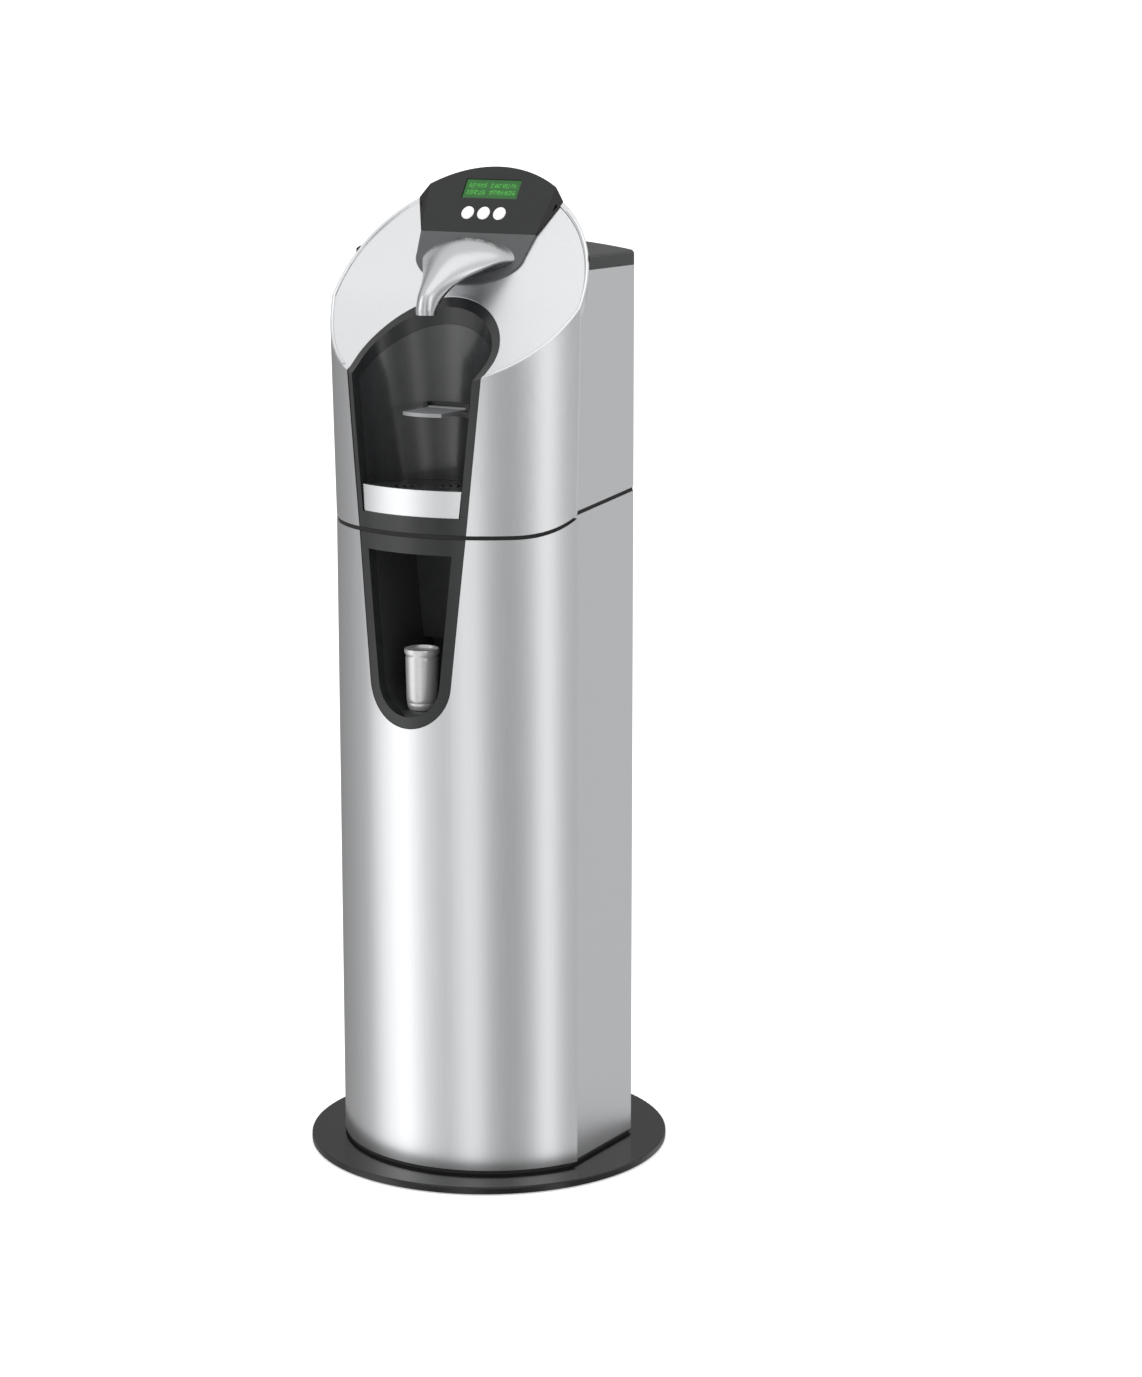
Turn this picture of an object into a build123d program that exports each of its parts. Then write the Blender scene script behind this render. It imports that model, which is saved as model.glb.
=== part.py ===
from build123d import *
import os
from math import asin, atan, cos, degrees, radians, sin, sqrt

os.makedirs("parts", exist_ok=True)

# Water dispenser on its matching floor cabinet, standing on a round base plate.
# Millimetres. Origin at the centre of the base plate's underside, +Z up, the front faces -Y.

# --- driving dimensions -----------------------------------------------------------------
gap = 0.3                      # assembly gap between neighbouring covers
plate_radius = 227.5
plate_thickness = 9.0
pad_thickness = 1.5
pad_width = 14.0
plinth_height = 5.0

body_radius = 189.5            # front arc of the casing
body_centre_y = 8.7            # centre of that arc
side_x = 168.0                 # outer face of the side panels
rear_y = 82.0                  # outer face of the back
rear_corner = 10.0
shell_edge_y = -68.0           # where the front shell ends and the side panel starts
shell_wall = 4.0
sheet = 3.0                    # side panels
panel_sheet = 2.0              # back panels
deck_thickness = 3.0

cabinet_height = 787.5         # lower casing, from the plinth up
seam_height = 5.0              # black joint between the two casings
seam_flat_y = -135.0           # forward of here the joint is level; behind it sweeps up
seam_turn_y = -66.0            # end of the sweep, at the side panels
seam_lift = 23.0               # height gained over the sweep
seam_slope = 0.1               # rise of the joint along the side panels
gasket_sink = 1.0              # the joint's strip lies this far behind the skins
gasket_width = 1.8
casing_height = 309.0          # upper casing, up to the lid
flare = 0.02                   # how much the upper shell grows in radius per millimetre of height

face_angle = 54.6              # slope of the inclined face, from horizontal
face_height = 365.0  # middle of the inclined face on the axis, above the casing foot
face_curve_y = -60.0           # forward of here the face curls towards the front
face_curve = 340.0
head_depth = 103.0             # rounded back of the head, behind the head axis
head_axis_y = -70.0
collar_thickness = 3.0
collar_sink = 0.8              # the collar plate lies this far below the shell's lip

niche_half = 76.0              # half-width of the niche at the seam
niche_slope = 0.1              # half-width gained per millimetre of height
niche_back = 75.0              # depth of the rounded back of the niche
niche_axis_y = -140.0
niche_drop = 234.5             # lowest point of the niche outline, below the cabinet's top
bezel = 14.0                   # band round the lower niche
arch_bezel = 9.0               # band round the upper niche
bezel_depth = 14.0
bezel_sink = 0.8
liner_wall = 2.5
lower_niche_back_y = -70.0
lower_niche_foot_y = -50.0     # the foot of the lower niche is deeper
lower_niche_step = 143.0       # the step in its back, below the cabinet's top
lower_niche_floor = 216.0      # its floor, below the cabinet's top
lower_niche_top_band = 20.0
tray_sill = 20.0               # black band under the drip tray

tray_height = 32.0
tray_front_wall = 4.0
tray_wall = 2.0
tray_play = 2.0                # side clearance of the tray in the niche
grille_thickness = 3.0
slot_width = 3.2

shelf_rise = 135.5             # above the upper casing's foot, as are the next heights
shelf_thickness = 4.5
shelf_width = 55.0
shelf_reach = 63.0
shelf_pivot_y = -84.0
pin_radius = 2.0
running_clearance = 0.05

panel_break = 80.0             # distances up the face from the start of its straight part
panel_low_half = 82.5
panel_spread = 0.45            # half-width gained per millimetre up the face
panel_face_half = 89.0         # half-width of the panel's top face at its upper end
panel_face_reach = 50.0
panel_low_rise = 2.2           # how far the panel stands proud at its lower edge
panel_tilt = 3.4               # extra slope of the panel's face, degrees
panel_wall = 2.5
surround_half = 77.0
surround_low = 8.0
surround_centre = 48.0
surround_slope = 0.8           # degrees

lcd_width = 79.0
lcd_height = 26.0
lcd_margin = 31.0              # from the panel's upper edge to the middle of the display
lcd_thickness = 1.5
lcd_sink = 1.2
button_radius = 8.6
button_pitch = 22.8
button_up = 26.5               # distance up the panel from its lower edge
button_proud = 1.2
button_height = 9.0
button_travel = 1.5
button_clearance = 0.25
button_flange = 1.5
switch_width = 6.0
switch_height = 3.5
board_width = 96.0
board_thickness = 1.6
post_radius = 3.0

nozzle_radius = 12.0
nozzle_bore = 9.0
nozzle_y = -130.0
nozzle_rise = 256.0

lid_band = 16.5
lid_crown = 13.0
lid_wall = 2.5
lid_front_y = -34.0
lid_chamfer = 2.5

beaker_radius = 18.3
beaker_height = 76.0
beaker_wall = 1.2
beaker_rim = 21.5
beaker_y = -146.0

tube_radius = 4.0
tube_bend = 12.0
screw_radius = 2.0
screw_head_radius = 3.8
screw_head_height = 2.2
screw_length = 9.0
screw_inset = 14.0

inlet_x = -115.0
inlet_y = 65.0
inlet_z = 120.0
inlet_bore = 3.2               # takes a 6.35 mm supply tube
inlet_body_radius = 8.0
inlet_length = 30.0
inlet_collar = 3.0
valve_y = 42.0
valve_width = 34.0
filter_depth_z = 163.0
filter_pitch = 100.0
filter_y = 25.0
filter_radius = 40.0
filter_length = 330.0
filter_neck_radius = 14.0
filter_bracket_height = 60.0
filter_drop = 3.0              # the cartridges' shoulders hang this far under the bracket
filter_head_width = 180.0
filter_head_height = 22.0
corner_round = 8.0
fitting_radius = 7.0           # push-fit sockets that take the tubes
fitting_height = 12.0
riser_y = 24.0
grommet_radius = 20.0
bracket_rise = 258.0           # sheet shelf that carries the valves behind the head
valve_block_y = -8.0
panel_depth = 9.0              # the panel's walls reach this far behind the face
lcd_module_depth = 6.0
root_drop = -36.0              # centre of the spout's root, down the surround from the break
root_half = 61.0
root_thick = 24.0
nozzle_depth = 16.0
tray_front_sink = 2.0          # the tray's front lies this far behind the shell's arc
shelf_ear = 5.5
shelf_bow = 6.0
tank_x = -88.0
tank_y = 5.0
tank_radius = 50.0
tank_height = 170.0
tank_port = 6.0
foam = 14.0
compressor_x = 95.0
compressor_y = -5.0
compressor_radius = 46.0
compressor_height = 110.0
foot_radius = 8.0
foot_height = 10.0
condenser_x = 80.0
condenser_rise = 227.0
condenser_width = 116.0
condenser_depth = 20.0
fin_pitch = 6.0
fan_depth = 24.0
fan_radius = 50.0
fan_hub_radius = 16.0
fan_spider = 3.0
rotor_depth = 17.0
blade_thickness = 1.6
blade_pitch = 50.0
mains_x = 100.0
mains_rise = 72.0
mains_width = 28.0
mains_height = 21.0
mains_depth = 20.0
mains_flange = 2.5
supply_x = 5.0
supply_y = -22.0
supply_width = 46.0
supply_length = 70.0
supply_height = 90.0
bracket_front_y = -34.0
bracket_lip = 20.0
block_width = 90.0
block_depth = 24.0
block_height = 20.0
coil_radius = 10.0
coil_height = 26.0
coil_pitch = 60.0
bracket_back_y = 31.0
rim_depth = 9.0                # behind the front shell's edge the head keeps a rim this deep
lid_tuck = 8.0                 # the head's back reaches this far below the lid

# --- worked-out levels --------------------------------------------------------------------
plate_bottom = pad_thickness
plate_top = plate_bottom + plate_thickness
cabinet_bottom = plate_top + plinth_height
cabinet_top = cabinet_bottom + cabinet_height
casing_bottom = cabinet_top + seam_height
casing_top = casing_bottom + casing_height
lid_top = casing_top + gap + lid_band
niche_tip = cabinet_top - niche_drop
lower_niche_step_z = cabinet_top - lower_niche_step
lower_niche_floor_z = cabinet_top - lower_niche_floor
filter_top = cabinet_top - filter_depth_z
shelf_z = casing_bottom + shelf_rise
nozzle_z = casing_bottom + nozzle_rise
bracket_z = casing_bottom + bracket_rise
condenser_z = casing_bottom + condenser_rise
mains_z = casing_bottom + mains_rise
face_rise = radians(face_angle)
face_start_z = casing_bottom + face_height + face_curve_y * sin(face_rise) / cos(face_rise)
head_limit = casing_top + 200.0
pan_inset = sheet + panel_sheet + gap
tray_bottom = casing_bottom + tray_sill + gap
tray_top = tray_bottom + tray_height
board_depth = button_height - button_proud + button_travel + gap + switch_height
skin_top = cabinet_top + 2 * seam_lift
rear_seam = cabinet_top + seam_lift + seam_slope * (rear_y - sheet - seam_turn_y)
casing_screws_low = rear_seam + seam_height


def corner_x(radius):
    """Half-width of an arc of this radius at the head axis."""
    return sqrt(radius**2 - (body_centre_y - head_axis_y) ** 2)


def shell_radius(z):
    """Outer radius of the upper shell at a height."""
    return body_radius + flare * (z - casing_bottom)


def body_plan(z, inset):
    """Plan of the casing: a front arc, straight sides and rounded rear corners."""
    radius = body_radius - inset
    half = side_x - inset
    front_y = body_centre_y - sqrt(radius**2 - half**2)
    start = degrees(asin((front_y - body_centre_y) / radius))
    back = rear_y - inset
    with BuildSketch(Plane.XY.offset(z)) as plan:
        with BuildLine():
            CenterArc((0, body_centre_y), radius, 180 - start, 180 + 2 * start)
            FilletPolyline(
                (half, front_y), (half, back), (-half, back), (-half, front_y),
                radius=max(rear_corner - inset, 1.0),
            )
        make_face()
    return plan.sketch


def body_block(z_low, z_high, inset):
    """The casing's plan raised between two levels."""
    with BuildPart() as block:
        extrude(body_plan(z_low, inset), amount=z_high - z_low)
    return block.part


def drum(z_low, z_high, inset, growth=0.0):
    """Round volume whose front is the casing's front arc."""
    low = body_radius - inset
    high = low + growth * (z_high - z_low)
    with BuildPart() as block:
        with Locations((0, body_centre_y, z_low)):
            if growth:
                Cone(low, high, z_high - z_low, align=(Align.CENTER, Align.CENTER, Align.MIN))
            else:
                Cylinder(low, z_high - z_low, align=(Align.CENTER, Align.CENTER, Align.MIN))
    return block.part


def head_section(z, inset):
    """Plan of the head: the front arc closed by half an ellipse."""
    radius = shell_radius(z) - inset
    half = corner_x(radius)
    turn = degrees(asin((head_axis_y - body_centre_y) / radius))
    with BuildSketch(Plane.XY.offset(z)) as section:
        with BuildLine():
            CenterArc((0, body_centre_y), radius, 180 - turn, 180 + 2 * turn)
            EllipticalCenterArc((0, head_axis_y), half, head_depth - inset, start_angle=0, arc_size=180)
        make_face()
    return section.sketch


def head_volume(inset):
    """Everything inside the head's outer wall, over its whole height."""
    with BuildPart() as volume:
        loft([head_section(casing_bottom, inset), head_section(head_limit, inset)], ruled=True)
    return volume.part


def face_point(depth, slope):
    """Point of the curled part of the face, sunk by a depth, where it has this slope."""
    centre_y = face_curve_y - face_curve * sin(face_rise)
    centre_z = face_start_z + face_curve * cos(face_rise)
    radius = face_curve + depth
    return (centre_y + radius * sin(slope), centre_z - radius * cos(slope))


def below_face(depth):
    """Everything behind the inclined face, sunk by a depth."""
    front_slope = face_rise - radians(28)
    start = face_point(depth, face_rise)
    middle = face_point(depth, (face_rise + front_slope) / 2)
    end = face_point(depth, front_slope)
    reach = head_depth + 60
    top = (start[0] + reach * cos(face_rise), start[1] + reach * sin(face_rise))
    with BuildPart() as volume:
        with BuildSketch(Plane.YZ):
            with BuildLine():
                Line(top, start)
                ThreePointArc(start, middle, end)
                Polyline(end, (end[0], casing_bottom), (top[0], casing_bottom), top)
            make_face()
        extrude(amount=plate_radius, both=True)
    return volume.part


def niche_half_at(z):
    """Half-width of the niche outline at a height."""
    return niche_half + niche_slope * (z - cabinet_top)


def lower_niche_outline(inset, top):
    """Front view of the lower niche: straight tapering sides and a round bottom."""
    lean = atan(niche_slope)
    foot_half = niche_half_at(niche_tip)
    radius = foot_half * cos(lean) / (1 - sin(lean)) - inset
    centre_z = niche_tip + inset + radius
    touch = (radius * cos(lean), centre_z - radius * sin(lean))
    top_half = niche_half_at(top) - inset / cos(lean)
    with BuildSketch(Plane.XZ) as outline:
        with BuildLine():
            ThreePointArc((-touch[0], touch[1]), (0, niche_tip + inset), touch)
            Polyline(touch, (top_half, top), (-top_half, top), (-touch[0], touch[1]))
        make_face()
    return outline.sketch


def lower_niche_block(inset, top, back_y, bottom=0.0):
    """The lower niche outline carried from in front of the casing to a depth."""
    with BuildPart() as block:
        extrude(lower_niche_outline(inset, top), amount=plate_radius)
        with Locations((0, back_y, 0)):
            Box(
                plate_radius, 2 * plate_radius, 3 * niche_tip,
                align=(Align.CENTER, Align.MAX, Align.MIN), mode=Mode.INTERSECT,
            )
        if bottom:
            with Locations((0, 0, bottom)):
                Box(
                    plate_radius, 4 * plate_radius, bottom,
                    align=(Align.CENTER, Align.CENTER, Align.MAX), mode=Mode.SUBTRACT,
                )
    return block.part


def arch_section(z, inset):
    """Plan of the upper niche: straight sides and a rounded back."""
    half = niche_half_at(z) - inset
    depth = niche_back - inset
    with BuildSketch(Plane.XY.offset(z)) as section:
        with BuildLine():
            EllipticalCenterArc((0, niche_axis_y), half, depth, start_angle=0, arc_size=180)
            Polyline(
                (-half, niche_axis_y), (-half, -plate_radius), (half, -plate_radius), (half, niche_axis_y)
            )
        make_face()
    return section.sketch


def arch_block(z_low, z_high, inset):
    """The upper niche outline between two levels."""
    with BuildPart() as block:
        loft([arch_section(z_low, inset), arch_section(z_high, inset)], ruled=True)
    return block.part


def skin_block(depth):
    """The upper unit's outer skin, sunk by a depth on the front and on the face."""
    with BuildPart() as block:
        add(drum(casing_bottom, head_limit, depth, flare))
        add(below_face(depth), mode=Mode.INTERSECT)
    return block.part


def below_seam(raise_by):
    """Everything under the joint between the casings, or under the same line raised."""
    level = cabinet_top + raise_by
    turn = (seam_turn_y, level + seam_lift)
    back = (2 * rear_y, turn[1] + seam_slope * (2 * rear_y - seam_turn_y))
    with BuildPart() as volume:
        with BuildSketch(Plane.YZ):
            with BuildLine():
                Line((-2 * plate_radius, level), (seam_flat_y, level))
                TangentArc((seam_flat_y, level), turn, tangent=(1, 0))
                Polyline(turn, back, (back[0], -1), (-2 * plate_radius, -1), (-2 * plate_radius, level))
            make_face()
        extrude(amount=plate_radius, both=True)
    return volume.part


def below_rim(depth):
    """Everything behind the front shell's edge and under a rim of this depth that follows the face."""
    with BuildPart() as volume:
        add(below_face(depth))
        with Locations((0, shell_edge_y, casing_bottom - 1)):
            Box(
                4 * plate_radius, 2 * plate_radius, casing_height + 1 - lid_tuck,
                align=(Align.CENTER, Align.MIN, Align.MIN), mode=Mode.INTERSECT,
            )
    return volume.part


def tube_part(points, bend):
    """A round tube along straight runs joined by tangent bends."""
    with BuildPart() as tube:
        with BuildLine() as route:
            FilletPolyline(*points, radius=bend)
        with BuildSketch(Plane(route.wire() @ 0, z_dir=route.wire() % 0)):
            Circle(tube_radius)
            Circle(tube_radius / 2, mode=Mode.SUBTRACT)
        sweep(path=route.wire())
    return tube.part


def save(part, name):
    """Label one piece and write it under its node name."""
    part.label = name
    export_step(part, f"parts/{name}.step")


# --- base ---------------------------------------------------------------------------------
with BuildPart() as base_pad:
    with BuildSketch():
        Circle(plate_radius - pad_width / 2)
        Circle(plate_radius - 1.5 * pad_width, mode=Mode.SUBTRACT)
    extrude(amount=pad_thickness)
save(base_pad.part, "base_pad")

with BuildPart() as base_plate:
    with BuildSketch(Plane.XY.offset(plate_bottom)):
        Circle(plate_radius)
    extrude(amount=plate_thickness)
    fillet(base_plate.faces().sort_by(Axis.Z)[-1].edges(), plate_thickness / 5)
    chamfer(base_plate.faces().sort_by(Axis.Z)[0].edges(), plate_thickness / 9)
save(base_plate.part, "base_plate")

with BuildPart() as plinth:
    extrude(body_plan(plate_top, 2.5), amount=plinth_height)
    extrude(body_plan(plate_top, 20), amount=plinth_height, mode=Mode.SUBTRACT)
save(plinth.part, "plinth")

# --- lower cabinet ------------------------------------------------------------------------
with BuildPart() as cabinet_floor:
    extrude(body_plan(cabinet_bottom, pan_inset), amount=4 * deck_thickness)
    extrude(
        body_plan(cabinet_bottom + deck_thickness, pan_inset + panel_sheet),
        amount=4 * deck_thickness,
        mode=Mode.SUBTRACT,
    )
save(cabinet_floor.part, "cabinet_floor")

with BuildPart() as cabinet_front_shell:
    add(drum(cabinet_bottom, skin_top, 0))
    add(drum(cabinet_bottom, skin_top, shell_wall), mode=Mode.SUBTRACT)
    add(below_seam(0), mode=Mode.INTERSECT)
    split(bisect_by=Plane.XZ.offset(-shell_edge_y), keep=Keep.TOP)
    add(lower_niche_block(-gap, skin_top, lower_niche_back_y), mode=Mode.SUBTRACT)
save(cabinet_front_shell.part, "cabinet_front_shell")


def side_panel(side, z_low, z_high, screws_low, screws_high):
    """One side panel, wrapped round the rear corner to a flange that takes the back panel."""
    flange_x = side_x - 34.0
    with BuildPart() as panel:
        add(body_block(z_low, z_high, 0))
        add(body_block(z_low, z_high, sheet), mode=Mode.SUBTRACT)
        with Locations((side * flange_x, shell_edge_y + gap, z_low)):
            Box(
                plate_radius, 2 * plate_radius, z_high - z_low,
                align=(Align.MIN if side > 0 else Align.MAX, Align.MIN, Align.MIN),
                mode=Mode.INTERSECT,
            )
        with Locations(*screw_places(side, screws_low, screws_high)):
            Hole(screw_radius + 0.2)
    return panel.part


def screw_places(side, z_low, z_high):
    """Where one side's screws sit, facing rearwards on the flange."""
    count = 3
    step = (z_high - z_low - 4 * screw_inset) / (count - 1)
    spot = side * (side_x - 22.0)
    levels = [z_low + 2 * screw_inset + step * place for place in range(count)]
    return [Plane((spot, rear_y, level), x_dir=(1, 0, 0), z_dir=(0, 1, 0)) for level in levels]


def back_panel(z_low, z_high, screws_low, screws_high, slot_rows, slot_z):
    """Back panel behind the side flanges, with ventilation slots and screw holes."""
    half = side_x - rear_corner - gap
    outer_y = rear_y - sheet
    with BuildPart() as panel:
        with BuildSketch(Plane.XZ.offset(-outer_y)):
            with Locations((0, (z_low + z_high) / 2)):
                Rectangle(2 * half, z_high - z_low)
            with Locations((0, slot_z)):
                with GridLocations(3 * half / 5, 12, 3, slot_rows):
                    SlotOverall(half / 2, 4, mode=Mode.SUBTRACT)
        extrude(amount=panel_sheet)
        for side in (-1, 1):
            with Locations(*screw_places(side, screws_low, screws_high)):
                Hole(screw_radius + running_clearance)
    return panel.part


for side, name in ((-1, "cabinet_side_left"), (1, "cabinet_side_right")):
    with BuildPart() as cabinet_side:
        add(side_panel(side, cabinet_bottom, skin_top, cabinet_bottom, cabinet_top))
        add(below_seam(0), mode=Mode.INTERSECT)
    save(cabinet_side.part, name)

with BuildPart() as cabinet_rear_panel:
    add(
        back_panel(cabinet_bottom + gap, rear_seam, cabinet_bottom, cabinet_top, 8, cabinet_bottom + 90)
    )
    with Locations(Plane((inlet_x, rear_y - sheet, inlet_z), z_dir=(0, 1, 0))):
        Hole(inlet_body_radius + running_clearance)
save(cabinet_rear_panel.part, "cabinet_rear_panel")

with BuildPart() as cabinet_top_deck:
    extrude(body_plan(cabinet_top - 2 * deck_thickness, pan_inset), amount=2 * deck_thickness)
    add(lower_niche_block(-gap, cabinet_top + 1, lower_niche_back_y), mode=Mode.SUBTRACT)
    with Locations((0, riser_y, cabinet_top)):
        Hole(grommet_radius)
save(cabinet_top_deck.part, "cabinet_top_deck")

with BuildPart() as lower_niche_frame:
    add(lower_niche_block(0, cabinet_top - gap, lower_niche_back_y))
    add(drum(0, cabinet_top, bezel_sink), mode=Mode.INTERSECT)
    add(drum(0, cabinet_top, bezel_depth), mode=Mode.SUBTRACT)
    add(lower_niche_block(bezel, cabinet_top - lower_niche_top_band, 0), mode=Mode.SUBTRACT)
save(lower_niche_frame.part, "lower_niche_frame")

with BuildPart() as lower_niche_liner:
    liner_top = cabinet_top - lower_niche_top_band
    add(lower_niche_block(bezel - liner_wall, liner_top + liner_wall, lower_niche_back_y + liner_wall))
    add(
        lower_niche_block(
            bezel - liner_wall, lower_niche_step_z + liner_wall, lower_niche_foot_y + liner_wall
        )
    )
    add(drum(0, cabinet_top, bezel_depth + gap), mode=Mode.INTERSECT)
    add(
        lower_niche_block(bezel, liner_top, lower_niche_back_y, lower_niche_floor_z),
        mode=Mode.SUBTRACT,
    )
    add(
        lower_niche_block(bezel, lower_niche_step_z, lower_niche_foot_y, lower_niche_floor_z),
        mode=Mode.SUBTRACT,
    )
save(lower_niche_liner.part, "lower_niche_liner")

# A steel beaker stands in the foot of the lower niche.
with BuildPart() as steel_beaker:
    beaker_foot = beaker_radius - 3
    beaker_top = lower_niche_floor_z + beaker_height
    with BuildSketch(Plane.XZ):
        with BuildLine():
            Polyline(
                (0, lower_niche_floor_z),
                (beaker_foot, lower_niche_floor_z),
                (beaker_radius, lower_niche_floor_z + 9),
                (beaker_radius, beaker_top - 5),
                (beaker_rim, beaker_top - 3),
                (beaker_rim, beaker_top),
                (beaker_radius - beaker_wall, beaker_top),
                (beaker_radius - beaker_wall, lower_niche_floor_z + 10),
                (beaker_foot - beaker_wall, lower_niche_floor_z + 3),
                (0, lower_niche_floor_z + 3),
                (0, lower_niche_floor_z),
            )
        make_face()
    revolve(axis=Axis.Z)
save(steel_beaker.part.moved(Location((0, beaker_y, 0))), "steel_beaker")

# --- water filter in the cabinet ------------------------------------------------------------
with BuildPart() as filter_bracket:
    with Locations((0, rear_y - sheet - panel_sheet - gap, filter_top)):
        Box(
            2 * filter_pitch, panel_sheet, filter_bracket_height,
            align=(Align.CENTER, Align.MAX, Align.MIN),
        )
        Box(
            2 * filter_pitch, rear_y - filter_y, panel_sheet,
            align=(Align.CENTER, Align.MAX, Align.MIN),
        )
    with Locations((-filter_pitch / 2, filter_y, filter_top), (filter_pitch / 2, filter_y, filter_top)):
        Hole(filter_neck_radius + gap)
save(filter_bracket.part, "filter_bracket")

with BuildPart() as filter_head:
    with Locations((0, filter_y, filter_top + panel_sheet + gap)):
        Box(
            filter_head_width, filter_radius, filter_head_height,
            align=(Align.CENTER, Align.CENTER, Align.MIN),
        )
    fillet(filter_head.edges().filter_by(Axis.Z), corner_round)
    with Locations((0, riser_y, filter_top + panel_sheet + gap + filter_head_height)):
        Cylinder(fitting_radius, fitting_height, align=(Align.CENTER, Align.CENTER, Align.MIN))
save(filter_head.part, "filter_head")

with BuildPart() as filter_cartridge:
    for side in (-1, 1):
        with Locations((side * filter_pitch / 2, filter_y, filter_top - filter_drop)):
            Cylinder(filter_radius, filter_length, align=(Align.CENTER, Align.CENTER, Align.MAX))
            Cylinder(
                filter_neck_radius, filter_drop + panel_sheet + gap / 2,
                align=(Align.CENTER, Align.CENTER, Align.MIN),
            )
    fillet(filter_cartridge.edges().filter_by(GeomType.CIRCLE).group_by(SortBy.RADIUS)[-1], corner_round)
save(filter_cartridge.part, "filter_cartridge")

with BuildPart() as water_inlet:
    with BuildSketch(Plane((inlet_x, inlet_y, inlet_z), z_dir=(0, 1, 0))):
        Circle(inlet_body_radius)
        Circle(inlet_bore, mode=Mode.SUBTRACT)
    extrude(amount=inlet_length)
    with BuildSketch(Plane((inlet_x, rear_y - sheet + gap, inlet_z), z_dir=(0, 1, 0))):
        Circle(inlet_body_radius + inlet_collar)
        Circle(inlet_body_radius, mode=Mode.SUBTRACT)
    extrude(amount=inlet_collar)
save(water_inlet.part, "water_inlet")

with BuildPart() as leak_stop_valve:
    with Locations((inlet_x, inlet_y - gap, inlet_z)):
        Box(valve_width, filter_radius, valve_width, align=(Align.CENTER, Align.MAX, Align.CENTER))
    fillet(leak_stop_valve.edges().filter_by(Axis.Y), corner_round)
    with Locations((inlet_x, valve_y, inlet_z + valve_width / 2)):
        Cylinder(fitting_radius, fitting_height, align=(Align.CENTER, Align.CENTER, Align.MIN))
save(leak_stop_valve.part, "leak_stop_valve")

head_port_z = filter_top + panel_sheet + gap + filter_head_height / 2
inlet_tube = tube_part(
    [
        (inlet_x, valve_y, inlet_z + valve_width / 2 + fitting_height + gap),
        (inlet_x, valve_y, filter_top - 2 * filter_radius),
        (inlet_x, filter_y, filter_top - filter_radius / 2),
        (inlet_x, filter_y, head_port_z),
        (-filter_head_width / 2 - gap, filter_y, head_port_z),
    ],
    tube_bend,
)
save(inlet_tube, "inlet_tube")

block_port_z = bracket_z + panel_sheet + block_height / 2
riser_tube = tube_part(
    [
        (0, riser_y, filter_top + panel_sheet + filter_head_height + fitting_height + 2 * gap),
        (0, riser_y, block_port_z),
        (0, valve_block_y + block_depth / 2 + gap, block_port_z),
    ],
    tube_bend,
)
save(riser_tube, "riser_tube")

with BuildPart() as tube_grommet:
    with Locations((0, riser_y, cabinet_top - 2 * deck_thickness)):
        Cylinder(grommet_radius - gap, 2 * deck_thickness, align=(Align.CENTER, Align.CENTER, Align.MIN))
        with Locations((0, 0, 2 * deck_thickness)):
            Cylinder(
                grommet_radius + deck_thickness, seam_height - gap,
                align=(Align.CENTER, Align.CENTER, Align.MIN),
            )
    with Locations((0, riser_y, cabinet_top)):
        Hole(tube_radius + gap)
save(tube_grommet.part, "tube_grommet")

# --- joint between the two casings -----------------------------------------------------------
with BuildPart() as seam_gasket:
    extrude(body_plan(cabinet_top, gasket_sink), amount=3 * seam_lift)
    extrude(body_plan(cabinet_top, gasket_sink + gasket_width), amount=3 * seam_lift, mode=Mode.SUBTRACT)
    add(below_seam(seam_height), mode=Mode.INTERSECT)
    add(below_seam(0), mode=Mode.SUBTRACT)
save(seam_gasket.part, "seam_gasket")

# --- upper casing -----------------------------------------------------------------------------
with BuildPart() as casing_pan:
    extrude(body_plan(casing_bottom, pan_inset), amount=deck_thickness)
    add(arch_block(casing_bottom - 1, casing_bottom + 2 * deck_thickness, -gap), mode=Mode.SUBTRACT)
    with Locations((0, riser_y, casing_bottom)):
        Hole(grommet_radius)
save(casing_pan.part, "casing_pan")

with BuildPart() as head_shell:
    add(head_volume(0))
    add(head_volume(shell_wall), mode=Mode.SUBTRACT)
    add(below_face(0), mode=Mode.INTERSECT)
    # behind the front shell's edge only the head's rim remains, above the side panels
    add(below_rim(rim_depth), mode=Mode.SUBTRACT)
    add(below_seam(seam_height), mode=Mode.SUBTRACT)
    add(arch_block(casing_bottom - 1, head_limit, -gap), mode=Mode.SUBTRACT)
save(head_shell.part, "head_shell")

with BuildPart() as head_relief:
    add(head_volume(-gap))
    add(below_rim(rim_depth + gap), mode=Mode.SUBTRACT)

for side, name in ((-1, "casing_side_left"), (1, "casing_side_right")):
    with BuildPart() as casing_side:
        add(side_panel(side, casing_bottom, casing_top, casing_screws_low, casing_top))
        add(head_relief.part, mode=Mode.SUBTRACT)
        add(below_seam(seam_height), mode=Mode.SUBTRACT)
    save(casing_side.part, name)

with BuildPart() as casing_rear_panel:
    add(
        back_panel(
            rear_seam + seam_height, casing_top - gap, casing_screws_low, casing_top, 12,
            casing_bottom + 200,
        )
    )
    with Locations(Plane((mains_x, rear_y - sheet, mains_z), x_dir=(1, 0, 0), z_dir=(0, 1, 0))):
        Box(mains_width + 2 * gap, mains_height + 2 * gap, 6 * panel_sheet, mode=Mode.SUBTRACT)
save(casing_rear_panel.part, "casing_rear_panel")

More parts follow.
